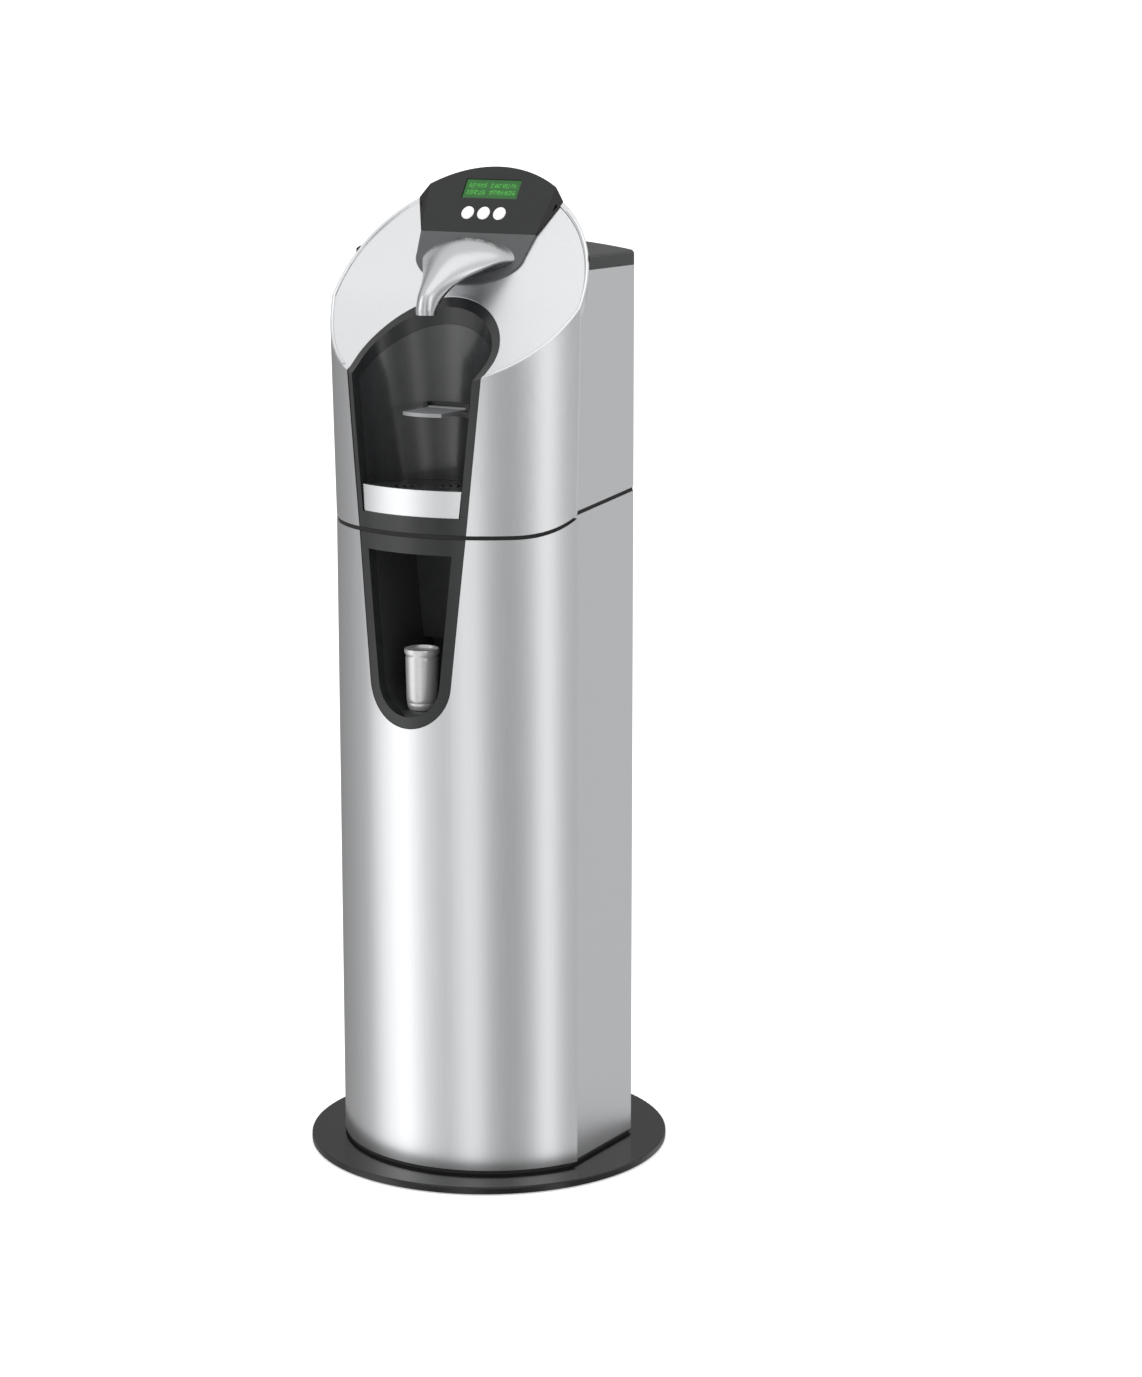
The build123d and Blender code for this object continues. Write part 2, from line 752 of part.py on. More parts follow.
with BuildPart() as rear_lid:
    lid_bottom = casing_top + gap
    crown_radius = (side_x**2 + lid_crown**2) / (2 * lid_crown)
    extrude(body_plan(lid_bottom, 0), amount=lid_band + lid_crown)
    with Locations((0, 0, lid_top + lid_crown - crown_radius)):
        Cylinder(crown_radius, 4 * rear_y, rotation=(90, 0, 0), mode=Mode.INTERSECT)
    chamfer(rear_lid.faces().sort_by(Axis.Z)[-1].edges().sort_by(Axis.Y)[-1], lid_chamfer)
    extrude(body_plan(lid_bottom, lid_wall), amount=lid_band - lid_wall, mode=Mode.SUBTRACT)
    with Locations((0, lid_front_y, 0)):
        Box(
            2 * plate_radius, plate_radius, 2 * head_limit,
            align=(Align.CENTER, Align.MAX, Align.MIN), mode=Mode.SUBTRACT,
        )
    add(head_volume(-1), mode=Mode.SUBTRACT)
save(rear_lid.part, "rear_lid")

# --- the inclined face --------------------------------------------------------------------------
face_plane = Plane(
    (0, face_curve_y, face_start_z), x_dir=(1, 0, 0), z_dir=(0, -sin(face_rise), cos(face_rise))
)
panel_rise = face_rise + radians(panel_tilt)
panel_foot = face_plane.from_local_coords((0, panel_break, panel_low_rise))
panel_plane = Plane(panel_foot, x_dir=(1, 0, 0), z_dir=(0, -sin(panel_rise), cos(panel_rise)))
panel_length = (head_axis_y + head_depth - panel_foot.Y) / cos(panel_rise)
lcd_up = panel_length - lcd_margin
surround_rise = face_rise + radians(surround_slope)
surround_plane = Plane(panel_foot, x_dir=(1, 0, 0), z_dir=(0, -sin(surround_rise), cos(surround_rise)))


def panel_outline(inset):
    """Outline of the control panel and the spout's surround, on the face."""
    far = panel_break + 130
    far_half = panel_low_half + panel_spread * (far - panel_break) - inset
    with BuildSketch(face_plane) as outline:
        with BuildLine():
            EllipticalCenterArc(
                (0, surround_centre), surround_half - inset, surround_centre - surround_low - inset,
                start_angle=180, arc_size=180,
            )
            Polyline(
                (surround_half - inset, surround_centre),
                (panel_low_half - inset, panel_break),
                (far_half, far),
                (-far_half, far),
                (inset - panel_low_half, panel_break),
                (inset - surround_half, surround_centre),
            )
        make_face()
    return outline.sketch


def panel_block(inset, deep, high):
    """The panel outline raised through the face, inside the head."""
    with BuildPart() as block:
        extrude(panel_outline(inset), amount=high)
        extrude(panel_outline(inset), amount=-deep)
    return block.part


def half_space(plane, height, depth=400.0):
    """A big slab under a sloping plane, sunk by a height."""
    with BuildPart() as slab:
        with BuildSketch(plane.offset(-height)):
            Rectangle(4 * plate_radius, 4 * plate_radius)
        extrude(amount=-depth)
    return slab.part


with BuildPart() as collar:
    add(head_volume(shell_wall + gap))
    add(below_face(collar_sink), mode=Mode.INTERSECT)
    add(below_face(collar_sink + collar_thickness), mode=Mode.SUBTRACT)
    add(arch_block(casing_bottom - 1, head_limit, -gap), mode=Mode.SUBTRACT)
    add(panel_block(-gap, 40, 40), mode=Mode.SUBTRACT)
save(collar.part, "collar")


def panel_cover(top_plane):
    """A cover with the panel's outline: the top face on a plane, the walls down through the face."""
    with BuildPart() as cover:
        add(panel_block(0, panel_depth, 40))
        add(half_space(top_plane, 0), mode=Mode.INTERSECT)
        add(head_volume(0), mode=Mode.INTERSECT)
    with BuildPart() as rebate:
        add(head_volume(-5))
        add(head_volume(shell_wall + gap), mode=Mode.SUBTRACT)
        add(below_face(-gap), mode=Mode.INTERSECT)
    with BuildPart() as cavity:
        add(panel_block(panel_wall, 2 * panel_depth, 40))
        add(half_space(top_plane, panel_wall), mode=Mode.INTERSECT)
        add(head_volume(shell_wall + gap + panel_wall), mode=Mode.INTERSECT)
    with BuildPart() as hollow_cover:
        add(cover.part)
        add(rebate.part, mode=Mode.SUBTRACT)
        add(cavity.part, mode=Mode.SUBTRACT)
    return hollow_cover.part


# the panel's flanks lean inwards from the outline on the face to its narrower top face
flank_low = panel_plane.from_local_coords((panel_low_half, 0, 0))
flank_high = panel_plane.from_local_coords((panel_face_half, panel_face_reach, 0))
flank_foot = face_plane.from_local_coords(
    (panel_low_half + panel_spread * panel_face_reach, panel_break + panel_face_reach, 0)
)
flank_plane = Plane(
    flank_low, x_dir=flank_high - flank_low, z_dir=(flank_high - flank_low).cross(flank_foot - flank_low)
)
with BuildPart() as flank_cut:
    with BuildSketch(flank_plane):
        Rectangle(4 * panel_low_half, 4 * panel_low_half)
    extrude(amount=-panel_low_half if flank_plane.z_dir.X < 0 else panel_low_half)
    mirror(about=Plane.YZ)

with BuildPart() as control_panel:
    add(panel_cover(panel_plane))
    add(flank_cut.part, mode=Mode.SUBTRACT)
    add(half_space(Plane(panel_foot, x_dir=(1, 0, 0), z_dir=face_plane.y_dir), 0), mode=Mode.SUBTRACT)
    with BuildSketch(panel_plane):
        with Locations((0, lcd_up)):
            Rectangle(lcd_width + 2 * gap, lcd_height + 2 * gap)
        with Locations((0, button_up)):
            with GridLocations(button_pitch, 0, 3, 1):
                Circle(button_radius + button_clearance)
    extrude(amount=-4 * panel_wall, mode=Mode.SUBTRACT)
    with BuildSketch(panel_plane.offset(-panel_wall / 2)):
        with Locations((0, button_up)):
            with GridLocations(board_width - 2 * post_radius, button_radius, 2, 2):
                Circle(post_radius)
    extrude(amount=panel_wall / 2 - board_depth)
save(control_panel.part, "control_panel")

root_place = surround_plane.from_local_coords((0, root_drop, 0))
with BuildPart() as spout_surround:
    add(panel_cover(surround_plane))
    keep_plane = Plane(panel_foot, x_dir=(1, 0, 0), z_dir=face_plane.y_dir)
    add(half_space(keep_plane, gap), mode=Mode.INTERSECT)
    with Locations(Plane(root_place, x_dir=(1, 0, 0), z_dir=surround_plane.z_dir)):
        Hole(tube_radius + 2)
save(spout_surround.part, "spout_surround")

with BuildPart() as lcd_window:
    with BuildSketch(panel_plane.offset(-lcd_sink)):
        with Locations((0, lcd_up)):
            Rectangle(lcd_width, lcd_height)
    extrude(amount=-lcd_thickness)
save(lcd_window.part, "lcd_window")

with BuildPart() as lcd_module:
    with BuildSketch(panel_plane.offset(-panel_wall - 2 * gap)):
        with Locations((0, lcd_up)):
            Rectangle(lcd_width + 8, lcd_height + 2)
    extrude(amount=-lcd_module_depth)
    add(head_volume(shell_wall + 2 * gap + panel_wall), mode=Mode.INTERSECT)
save(lcd_module.part, "lcd_module")

with BuildPart() as control_board:
    with BuildSketch(panel_plane.offset(-board_depth)):
        with Locations((0, button_up)):
            Rectangle(board_width, 2 * button_radius + 2 * post_radius)
    extrude(amount=-board_thickness)
    with BuildSketch(panel_plane.offset(-board_depth)):
        with Locations((0, button_up)):
            with GridLocations(button_pitch, 0, 3, 1):
                Rectangle(switch_width, switch_width)
    extrude(amount=switch_height)
save(control_board.part, "control_board")

for place, name in enumerate(("button_left", "button_middle", "button_right")):
    with BuildPart() as button:
        with BuildSketch(panel_plane.offset(button_proud)):
            with Locations(((place - 1) * button_pitch, button_up)):
                Circle(button_radius)
        extrude(amount=-button_height)
        front_rim = button.edges().filter_by(GeomType.CIRCLE).sort_by(Axis.Z)[-1]
        fillet(front_rim, button_proud / 2)
        with BuildSketch(panel_plane.offset(-panel_wall - gap - button_travel / 2)):
            with Locations(((place - 1) * button_pitch, button_up)):
                Circle(button_radius + button_flange)
        extrude(amount=-button_flange)
    save(button.part, name)

# --- spout ------------------------------------------------------------------------------------
def spout_section(y, z, tilt, half, thick):
    """One section of the spout: an ellipse on a plane tilted forward from the face."""
    turn = radians(tilt)
    with BuildSketch(Plane((0, y, z), x_dir=(1, 0, 0), z_dir=(0, -cos(turn), -sin(turn)))) as section:
        Ellipse(half, thick)
    return section.sketch


with BuildPart() as spout:
    root_normal = surround_plane.z_dir
    root_centre = root_place + root_normal * gap
    with BuildSketch(Plane(root_centre, x_dir=(1, 0, 0), z_dir=root_normal)) as root_section:
        Ellipse(root_half, root_thick)
    loft(
        [
            root_section.sketch,
            spout_section(-72, nozzle_z + 52, 0, 41, 19),
            spout_section(-103, nozzle_z + 37, 30, 22, 15),
            spout_section(-124, nozzle_z + 19, 66, 13.5, 13),
            spout_section(nozzle_y, nozzle_z, 90, nozzle_radius, nozzle_radius),
        ]
    )
    with Locations(Plane((0, nozzle_y, nozzle_z), z_dir=(0, 0, -1))):
        Hole(nozzle_bore, depth=nozzle_depth)
save(spout.part, "spout")

with BuildPart() as nozzle_insert:
    with BuildSketch(Plane.XY.offset(nozzle_z + 1)) as insert_ring:
        with Locations((0, nozzle_y)):
            Circle(nozzle_bore - gap / 2)
            Circle(nozzle_bore - 2, mode=Mode.SUBTRACT)
    extrude(amount=nozzle_depth - 2)
    with BuildSketch(Plane.XY.offset(nozzle_z + 4)):
        with Locations((0, nozzle_y)):
            Circle(nozzle_bore - gap / 2)
            with PolarLocations(4.2, 6):
                Circle(1.2, mode=Mode.SUBTRACT)
    extrude(amount=1.5)
save(nozzle_insert.part, "nozzle_insert")

# --- upper niche ---------------------------------------------------------------------------------
with BuildPart() as upper_niche_frame:
    add(arch_block(casing_bottom + gap, head_limit, 0))
    add(skin_block(bezel_sink), mode=Mode.INTERSECT)
    add(skin_block(bezel_depth), mode=Mode.SUBTRACT)
    add(arch_block(casing_bottom + tray_sill, head_limit, arch_bezel), mode=Mode.SUBTRACT)
save(upper_niche_frame.part, "upper_niche_frame")

with BuildPart() as upper_niche_liner:
    add(arch_block(casing_bottom + tray_sill - liner_wall, head_limit, arch_bezel - liner_wall))
    add(skin_block(bezel_depth + gap), mode=Mode.INTERSECT)
    add(arch_block(casing_bottom + tray_sill, head_limit, arch_bezel), mode=Mode.SUBTRACT)
save(upper_niche_liner.part, "upper_niche_liner")

# --- drip tray -------------------------------------------------------------------------------------
with BuildPart() as drip_tray_front:
    add(arch_block(tray_bottom, tray_top, arch_bezel + tray_play))
    add(drum(0, head_limit, tray_front_sink), mode=Mode.INTERSECT)
    add(drum(0, head_limit, tray_front_sink + tray_front_wall), mode=Mode.SUBTRACT)
save(drip_tray_front.part, "drip_tray_front")

rim_z = tray_top - grille_thickness - tray_wall
bin_front = tray_front_sink + tray_front_wall
with BuildPart() as tray_space:
    add(arch_block(tray_bottom + tray_wall, tray_top, arch_bezel + tray_play + tray_wall))
    add(drum(0, head_limit, bin_front + tray_wall), mode=Mode.INTERSECT)

with BuildPart() as drip_tray:
    add(arch_block(tray_bottom, rim_z, arch_bezel + tray_play))
    add(drum(0, head_limit, bin_front), mode=Mode.INTERSECT)
    add(tray_space.part, mode=Mode.SUBTRACT)
save(drip_tray.part, "drip_tray")

with BuildPart() as drip_grille:
    add(arch_block(rim_z + gap / 3, rim_z + gap / 3 + grille_thickness, arch_bezel + tray_play + 0.7))
    add(drum(0, head_limit, bin_front + gap), mode=Mode.INTERSECT)
    with BuildSketch(Plane.XY.offset(rim_z + 2 * grille_thickness)):
        with Locations((0, nozzle_y)):
            Circle(slot_width)
        for ring in range(1, 5):
            for half_turn in (0, 180):
                ring_arc = CenterArc((0, nozzle_y), 9.5 * ring, half_turn + 12, 156)
                SlotArc(ring_arc, slot_width)
    extrude(amount=-3 * grille_thickness, mode=Mode.SUBTRACT)
save(drip_grille.part, "drip_grille")

# --- folding cup shelf -------------------------------------------------------------------------------
shelf_axis_z = shelf_z + shelf_thickness / 2
shelf_front_y = shelf_pivot_y - shelf_reach
knuckle_radius = 2 * pin_radius

with BuildPart() as cup_shelf:
    with BuildSketch(Plane.XY.offset(shelf_z)):
        with BuildLine():
            ThreePointArc(
                (-shelf_width / 2, shelf_front_y + shelf_bow),
                (0, shelf_front_y),
                (shelf_width / 2, shelf_front_y + shelf_bow),
            )
            Polyline(
                (shelf_width / 2, shelf_front_y + shelf_bow),
                (shelf_width / 2, shelf_pivot_y),
                (-shelf_width / 2, shelf_pivot_y),
                (-shelf_width / 2, shelf_front_y + shelf_bow),
            )
        make_face()
    extrude(amount=shelf_thickness)
    with Locations((0, shelf_pivot_y, shelf_axis_z)):
        Cylinder(knuckle_radius, shelf_width, rotation=(0, 90, 0))
        Cylinder(
            pin_radius + running_clearance, 2 * shelf_width, rotation=(0, 90, 0), mode=Mode.SUBTRACT
        )
save(cup_shelf.part, "cup_shelf")

with BuildPart() as shelf_pin:
    with Locations((0, shelf_pivot_y, shelf_axis_z)):
        Cylinder(pin_radius, shelf_width + 2 * shelf_ear, rotation=(0, 90, 0))
save(shelf_pin.part, "shelf_pin")

with BuildPart() as shelf_bracket:
    web_y = shelf_pivot_y + knuckle_radius + 1
    with Locations((0, shelf_pivot_y - knuckle_radius, shelf_axis_z)):
        Box(
            shelf_width + 2 * shelf_ear, niche_back, 4 * knuckle_radius,
            align=(Align.CENTER, Align.MIN, Align.CENTER),
        )
    add(arch_block(casing_bottom, head_limit, arch_bezel + gap), mode=Mode.INTERSECT)
    with Locations((0, web_y, shelf_axis_z)):
        Box(
            shelf_width + 2 * gap, niche_back, 5 * knuckle_radius,
            align=(Align.CENTER, Align.MAX, Align.CENTER), mode=Mode.SUBTRACT,
        )
    with Locations((0, shelf_pivot_y, shelf_axis_z)):
        Cylinder(pin_radius, 2 * shelf_width, rotation=(0, 90, 0), mode=Mode.SUBTRACT)
save(shelf_bracket.part, "shelf_bracket")

# --- cooling, valves and supply inside the upper casing --------------------------------------------------
pan_top = casing_bottom + deck_thickness

with BuildPart() as tank_insulation:
    with Locations((tank_x, tank_y, pan_top)):
        Cylinder(tank_radius + foam, tank_height + 2 * foam, align=(Align.CENTER, Align.CENTER, Align.MIN))
        with Locations((0, 0, foam)):
            Cylinder(
                tank_radius + gap, tank_height + 2 * foam,
                align=(Align.CENTER, Align.CENTER, Align.MIN), mode=Mode.SUBTRACT,
            )
save(tank_insulation.part, "tank_insulation")

with BuildPart() as cold_tank:
    with Locations((tank_x, tank_y, pan_top + foam)):
        Cylinder(tank_radius, tank_height, align=(Align.CENTER, Align.CENTER, Align.MIN))
    fillet(cold_tank.edges().filter_by(GeomType.CIRCLE), tank_radius / 3)
    with Locations((tank_x, tank_y, pan_top + foam + tank_height)):
        Cylinder(fitting_radius, foam + tank_port, align=(Align.CENTER, Align.CENTER, Align.MIN))
save(cold_tank.part, "cold_tank")

with BuildPart() as compressor_feet:
    with Locations((compressor_x, compressor_y, pan_top)):
        with PolarLocations(compressor_radius, 3, start_angle=90):
            Cylinder(foot_radius, foot_height, align=(Align.CENTER, Align.CENTER, Align.MIN))
save(compressor_feet.part, "compressor_feet")

with BuildPart() as compressor:
    with Locations((compressor_x, compressor_y, pan_top + foot_height)):
        Cylinder(
            compressor_radius + foot_height, deck_thickness, align=(Align.CENTER, Align.CENTER, Align.MIN)
        )
        Cylinder(compressor_radius, compressor_height, align=(Align.CENTER, Align.CENTER, Align.MIN))
    fillet(compressor.faces().sort_by(Axis.Z)[-1].edges(), compressor_radius / 2)
save(compressor.part, "compressor")

with BuildPart() as condenser:
    with Locations((condenser_x, rear_y - sheet - panel_sheet - gap, condenser_z)):
        Box(condenser_width, condenser_depth, condenser_width, align=(Align.CENTER, Align.MAX, Align.CENTER))
    with BuildSketch(Plane.XY.offset(condenser_z)):
        with Locations((condenser_x, rear_y - sheet - panel_sheet - gap - condenser_depth)):
            with GridLocations(fin_pitch, 0, 18, 1):
                Rectangle(0.6 * fin_pitch, 1.2 * condenser_depth)
    extrude(amount=condenser_width / 2 - fin_pitch, both=True, mode=Mode.SUBTRACT)
save(condenser.part, "condenser")

shroud_back_y = rear_y - sheet - panel_sheet - condenser_depth - 2 * gap
with BuildPart() as fan_shroud:
    with Locations((condenser_x, shroud_back_y, condenser_z)):
        Box(condenser_width, fan_depth, condenser_width, align=(Align.CENTER, Align.MAX, Align.CENTER))
        Cylinder(fan_radius + 2, 4 * fan_depth, rotation=(90, 0, 0), mode=Mode.SUBTRACT)
        with Locations((0, -fan_depth, 0)):
            Box(
                condenser_width, fan_spider, 4 * fan_spider,
                align=(Align.CENTER, Align.MIN, Align.CENTER),
            )
            Cylinder(
                fan_hub_radius - 2, fan_spider, rotation=(90, 0, 0),
                align=(Align.CENTER, Align.CENTER, Align.MAX),
            )
            Cylinder(
                pin_radius, fan_depth - 4, rotation=(90, 0, 0), align=(Align.CENTER, Align.CENTER, Align.MAX)
            )
save(fan_shroud.part, "fan_shroud")

with BuildPart() as fan_rotor:
    rotor_front_y = shroud_back_y - fan_depth + fan_spider + 1
    rotor_middle_y = rotor_front_y + rotor_depth / 2
    with Locations((condenser_x, rotor_middle_y, condenser_z)):
        Cylinder(fan_hub_radius, rotor_depth, rotation=(90, 0, 0))
    for blade in range(7):
        turn = radians(360 / 7 * blade)
        reach = (fan_hub_radius + fan_radius) / 2 - 1
        spot = (condenser_x + reach * cos(turn), rotor_middle_y, condenser_z + reach * sin(turn))
        with Locations(Location(spot, (0, -degrees(turn), 0))):
            Box(
                fan_radius - fan_hub_radius + 1, blade_thickness, rotor_depth - fan_spider,
                rotation=(blade_pitch, 0, 0),
            )
    with Locations((condenser_x, rotor_middle_y, condenser_z)):
        Cylinder(pin_radius + running_clearance, 2 * rotor_depth, rotation=(90, 0, 0), mode=Mode.SUBTRACT)
save(fan_rotor.part, "fan_rotor")

with BuildPart() as power_supply:
    with Locations((supply_x, supply_y, pan_top)):
        Box(supply_width, supply_length, supply_height, align=(Align.CENTER, Align.CENTER, Align.MIN))
    fillet(power_supply.edges().filter_by(Axis.Z), supply_width / 20)
save(power_supply.part, "power_supply")

bracket_half = side_x - sheet - gap
bracket_depth = bracket_back_y - bracket_front_y
with BuildPart() as valve_bracket:
    with Locations((0, bracket_front_y, bracket_z)):
        Box(2 * bracket_half, bracket_depth, panel_sheet, align=(Align.CENTER, Align.MIN, Align.MIN))
    with Locations((-bracket_half, bracket_front_y, bracket_z)):
        Box(panel_sheet, bracket_depth, bracket_lip, align=(Align.MIN, Align.MIN, Align.MAX))
    with Locations((bracket_half, bracket_front_y, bracket_z)):
        Box(panel_sheet, bracket_depth, bracket_lip, align=(Align.MAX, Align.MIN, Align.MAX))
    with Locations((0, riser_y, bracket_z), (tank_x, tank_y, bracket_z)):
        Hole(tube_radius + gap)
save(valve_bracket.part, "valve_bracket")

block_top = bracket_z + panel_sheet + block_height
with BuildPart() as valve_block:
    with Locations((0, valve_block_y, block_top)):
        Box(block_width, block_depth, block_height, align=(Align.CENTER, Align.CENTER, Align.MAX))
        with GridLocations(coil_pitch, 0, 2, 1):
            Cylinder(coil_radius, coil_height, align=(Align.CENTER, Align.CENTER, Align.MIN))
save(valve_block.part, "valve_block")

# the outlet leaves the block upwards and turns square to the spout's root
outlet_run = (valve_block_y - root_place.Y) / -root_normal.Y
outlet_tube = tube_part(
    [
        (0, valve_block_y, block_top + gap),
        (0, valve_block_y, root_place.Z - outlet_run * root_normal.Z),
        (0, root_place.Y - gap * root_normal.Y, root_place.Z - gap * root_normal.Z),
    ],
    tube_bend,
)
save(outlet_tube, "outlet_tube")

tank_port_z = pan_top + 2 * foam + tank_height + tank_port + gap
tank_tube = tube_part(
    [
        (tank_x, tank_y, tank_port_z),
        (tank_x, tank_y, block_port_z),
        (tank_x + 2 * tube_bend, valve_block_y, block_port_z),
        (-block_width / 2 - gap, valve_block_y, block_port_z),
    ],
    [tube_bend, tube_bend / 2],
)
save(tank_tube, "tank_tube")

mains_plane = Plane((mains_x, rear_y - sheet + gap, mains_z), x_dir=(1, 0, 0), z_dir=(0, 1, 0))
with BuildPart() as mains_inlet:
    with Locations(mains_plane):
        Box(
            mains_width + 2 * mains_flange, mains_height + 2 * mains_flange, mains_flange,
            align=(Align.CENTER, Align.CENTER, Align.MIN),
        )
        Box(mains_width, mains_height, mains_depth, align=(Align.CENTER, Align.CENTER, Align.MAX))
    with Locations(mains_plane.offset(mains_flange)):
        Box(
            mains_width - 2 * mains_flange, mains_height - 2 * mains_flange, mains_depth,
            align=(Align.CENTER, Align.CENTER, Align.MAX), mode=Mode.SUBTRACT,
        )
        with Locations((0, 0, -mains_depth)):
            with GridLocations(mains_width / 4, 0, 3, 1):
                Box(
                    pin_radius, 2 * pin_radius, mains_depth / 2,
                    align=(Align.CENTER, Align.CENTER, Align.MIN),
                )
save(mains_inlet.part, "mains_inlet")

with BuildPart() as casing_screws:
    for z_low, z_high in ((cabinet_bottom, cabinet_top), (casing_screws_low, casing_top)):
        for side in (-1, 1):
            with Locations(*screw_places(side, z_low, z_high)):
                Cylinder(
                    screw_head_radius, screw_head_height, align=(Align.CENTER, Align.CENTER, Align.MIN)
                )
                Cylinder(screw_radius, screw_length, align=(Align.CENTER, Align.CENTER, Align.MAX))
save(casing_screws.part, "casing_screws")
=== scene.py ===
import math

import bpy
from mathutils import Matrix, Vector
import numpy as np


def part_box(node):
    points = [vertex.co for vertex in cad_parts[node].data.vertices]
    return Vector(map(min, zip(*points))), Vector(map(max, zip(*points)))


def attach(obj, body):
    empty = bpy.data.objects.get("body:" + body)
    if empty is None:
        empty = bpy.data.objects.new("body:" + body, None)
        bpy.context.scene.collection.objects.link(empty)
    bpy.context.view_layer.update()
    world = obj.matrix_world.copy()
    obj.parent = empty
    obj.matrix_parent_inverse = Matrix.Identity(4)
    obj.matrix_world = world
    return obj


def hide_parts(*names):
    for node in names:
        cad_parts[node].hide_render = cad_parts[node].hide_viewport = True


# Floor-standing water dispenser: satin steel casing, black niches, inclined control face.
# Everything is in metres in the CAD frame: +Z up, the niches face -Y.

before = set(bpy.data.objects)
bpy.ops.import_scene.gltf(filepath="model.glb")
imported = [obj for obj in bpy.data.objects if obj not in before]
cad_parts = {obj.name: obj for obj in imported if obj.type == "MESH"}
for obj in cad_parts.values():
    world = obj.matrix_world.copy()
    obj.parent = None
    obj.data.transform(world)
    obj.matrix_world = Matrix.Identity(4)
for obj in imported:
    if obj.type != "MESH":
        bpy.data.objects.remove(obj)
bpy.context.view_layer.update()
print("frame loaded:", len(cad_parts), "nodes")

mm = 0.001
bumpDepth = 0.0001            # metres, for every finish
coatGloss = 0.05              # roughness of the clear coat, where a finish has one
scene = bpy.context.scene


# sRGB hex to linear RGBA.
def linearColour(hexCode):
    values = [int(hexCode[i:i + 2], 16) / 255 for i in (1, 3, 5)]
    linear = [v / 12.92 if v <= 0.04045 else ((v + 0.055) / 1.055) ** 2.4 for v in values]
    return (*linear, 1.0)


# Adds one node, sets its fields or sockets and joins its inputs.
def addNode(tree, kind, settings=None, links=None):
    node = tree.nodes.new(kind)
    for name, value in (settings or {}).items():
        if isinstance(name, int) or name in node.inputs:
            node.inputs[name].default_value = value
        else:
            setattr(node, name, value)
    for name, source in (links or {}).items():
        tree.links.new(source, node.inputs[name])
    return node


def newMaterial(name):
    material = bpy.data.materials.new(name)
    material.use_nodes = True
    material.node_tree.nodes.clear()
    return material, material.node_tree


# Metal with fine grain drawn out along one direction; look gives colour, roughness and grain size.
def metalFinish(name, look):
    material, tree = newMaterial(name)
    place = addNode(tree, "ShaderNodeTexCoord")
    stretch = addNode(tree, "ShaderNodeMapping", {"Scale": look["grain"]}, {"Vector": place.outputs["Object"]})
    grain = addNode(
        tree, "ShaderNodeTexNoise", {"Scale": 1.0, "Detail": 3.0, "Roughness": 0.6},
        {"Vector": stretch.outputs["Vector"]},
    )
    tone = addNode(tree, "ShaderNodeMix", {
        "data_type": "RGBA", 6: linearColour(look["dark"]), 7: linearColour(look["light"]),
    }, {"Factor": grain.outputs["Fac"]})
    dull = addNode(tree, "ShaderNodeMapRange", {
        "To Min": look["roughness"] - look["spread"], "To Max": look["roughness"] + look["spread"],
    }, {"Value": grain.outputs["Fac"]})
    bump = addNode(
        tree, "ShaderNodeBump", {"Strength": look["bump"], "Distance": bumpDepth},
        {"Height": grain.outputs["Fac"]},
    )
    shader = addNode(tree, "ShaderNodeBsdfPrincipled", {"Metallic": look.get("metallic", 1.0)}, {
        "Base Color": tone.outputs[2], "Roughness": dull.outputs["Result"], "Normal": bump.outputs["Normal"],
    })
    addNode(tree, "ShaderNodeOutputMaterial", {}, {"Surface": shader.outputs["BSDF"]})
    return material


# Moulded or enamelled surface: a faint mottle in tone and gloss over a fine orange-peel.
def mouldedFinish(name, look):
    material, tree = newMaterial(name)
    place = addNode(tree, "ShaderNodeTexCoord")
    mottle = addNode(
        tree, "ShaderNodeTexNoise", {"Scale": look.get("mottle", 60.0), "Detail": 4.0},
        {"Vector": place.outputs["Object"]},
    )
    peel = addNode(
        tree, "ShaderNodeTexNoise", {"Scale": look["peel"], "Detail": 2.0},
        {"Vector": place.outputs["Object"]},
    )
    tone = addNode(tree, "ShaderNodeMix", {
        "data_type": "RGBA", 6: linearColour(look["dark"]), 7: linearColour(look["light"]),
    }, {"Factor": mottle.outputs["Fac"]})
    dull = addNode(tree, "ShaderNodeMapRange", {
        "To Min": look["roughness"] - look["spread"], "To Max": look["roughness"] + look["spread"],
    }, {"Value": mottle.outputs["Fac"]})
    bump = addNode(
        tree, "ShaderNodeBump", {"Strength": look["bump"], "Distance": bumpDepth},
        {"Height": peel.outputs["Fac"]},
    )
    shader = addNode(tree, "ShaderNodeBsdfPrincipled", {
        "IOR": look.get("ior", 1.5), "Coat Weight": look.get("coat", 0.0),
        "Coat Roughness": coatGloss,
    }, {
        "Base Color": tone.outputs[2], "Roughness": dull.outputs["Result"], "Normal": bump.outputs["Normal"],
    })
    addNode(tree, "ShaderNodeOutputMaterial", {}, {"Surface": shader.outputs["BSDF"]})
    return material


# Satin stainless steel, belt-grained upright: soft wide reflections with a faint upright grain.
casingSteel = metalFinish("satinStainlessCasing", {
    "dark": "#d2d3d5", "light": "#e2e3e4", "roughness": 0.30, "spread": 0.03,
    "grain": (1400.0, 1400.0, 12.0), "bump": 0.03,
})
# Silver lacquer over sheet steel: a shade darker and softer than the grained front.
sidePaint = metalFinish("silverLacquerSide", {
    "dark": "#c6c7c9", "light": "#d2d3d4", "roughness": 0.40, "spread": 0.03,
    "grain": (900.0, 900.0, 900.0), "bump": 0.03, "metallic": 0.9,
})
# Bead-blasted aluminium face: the palest metal, nearly without reflections.
faceAluminium = metalFinish("blastedAluminiumFace", {
    "dark": "#d6d7d9", "light": "#e6e7e8", "roughness": 0.36, "spread": 0.03,
    "grain": (1100.0, 300.0, 300.0), "bump": 0.04,
})
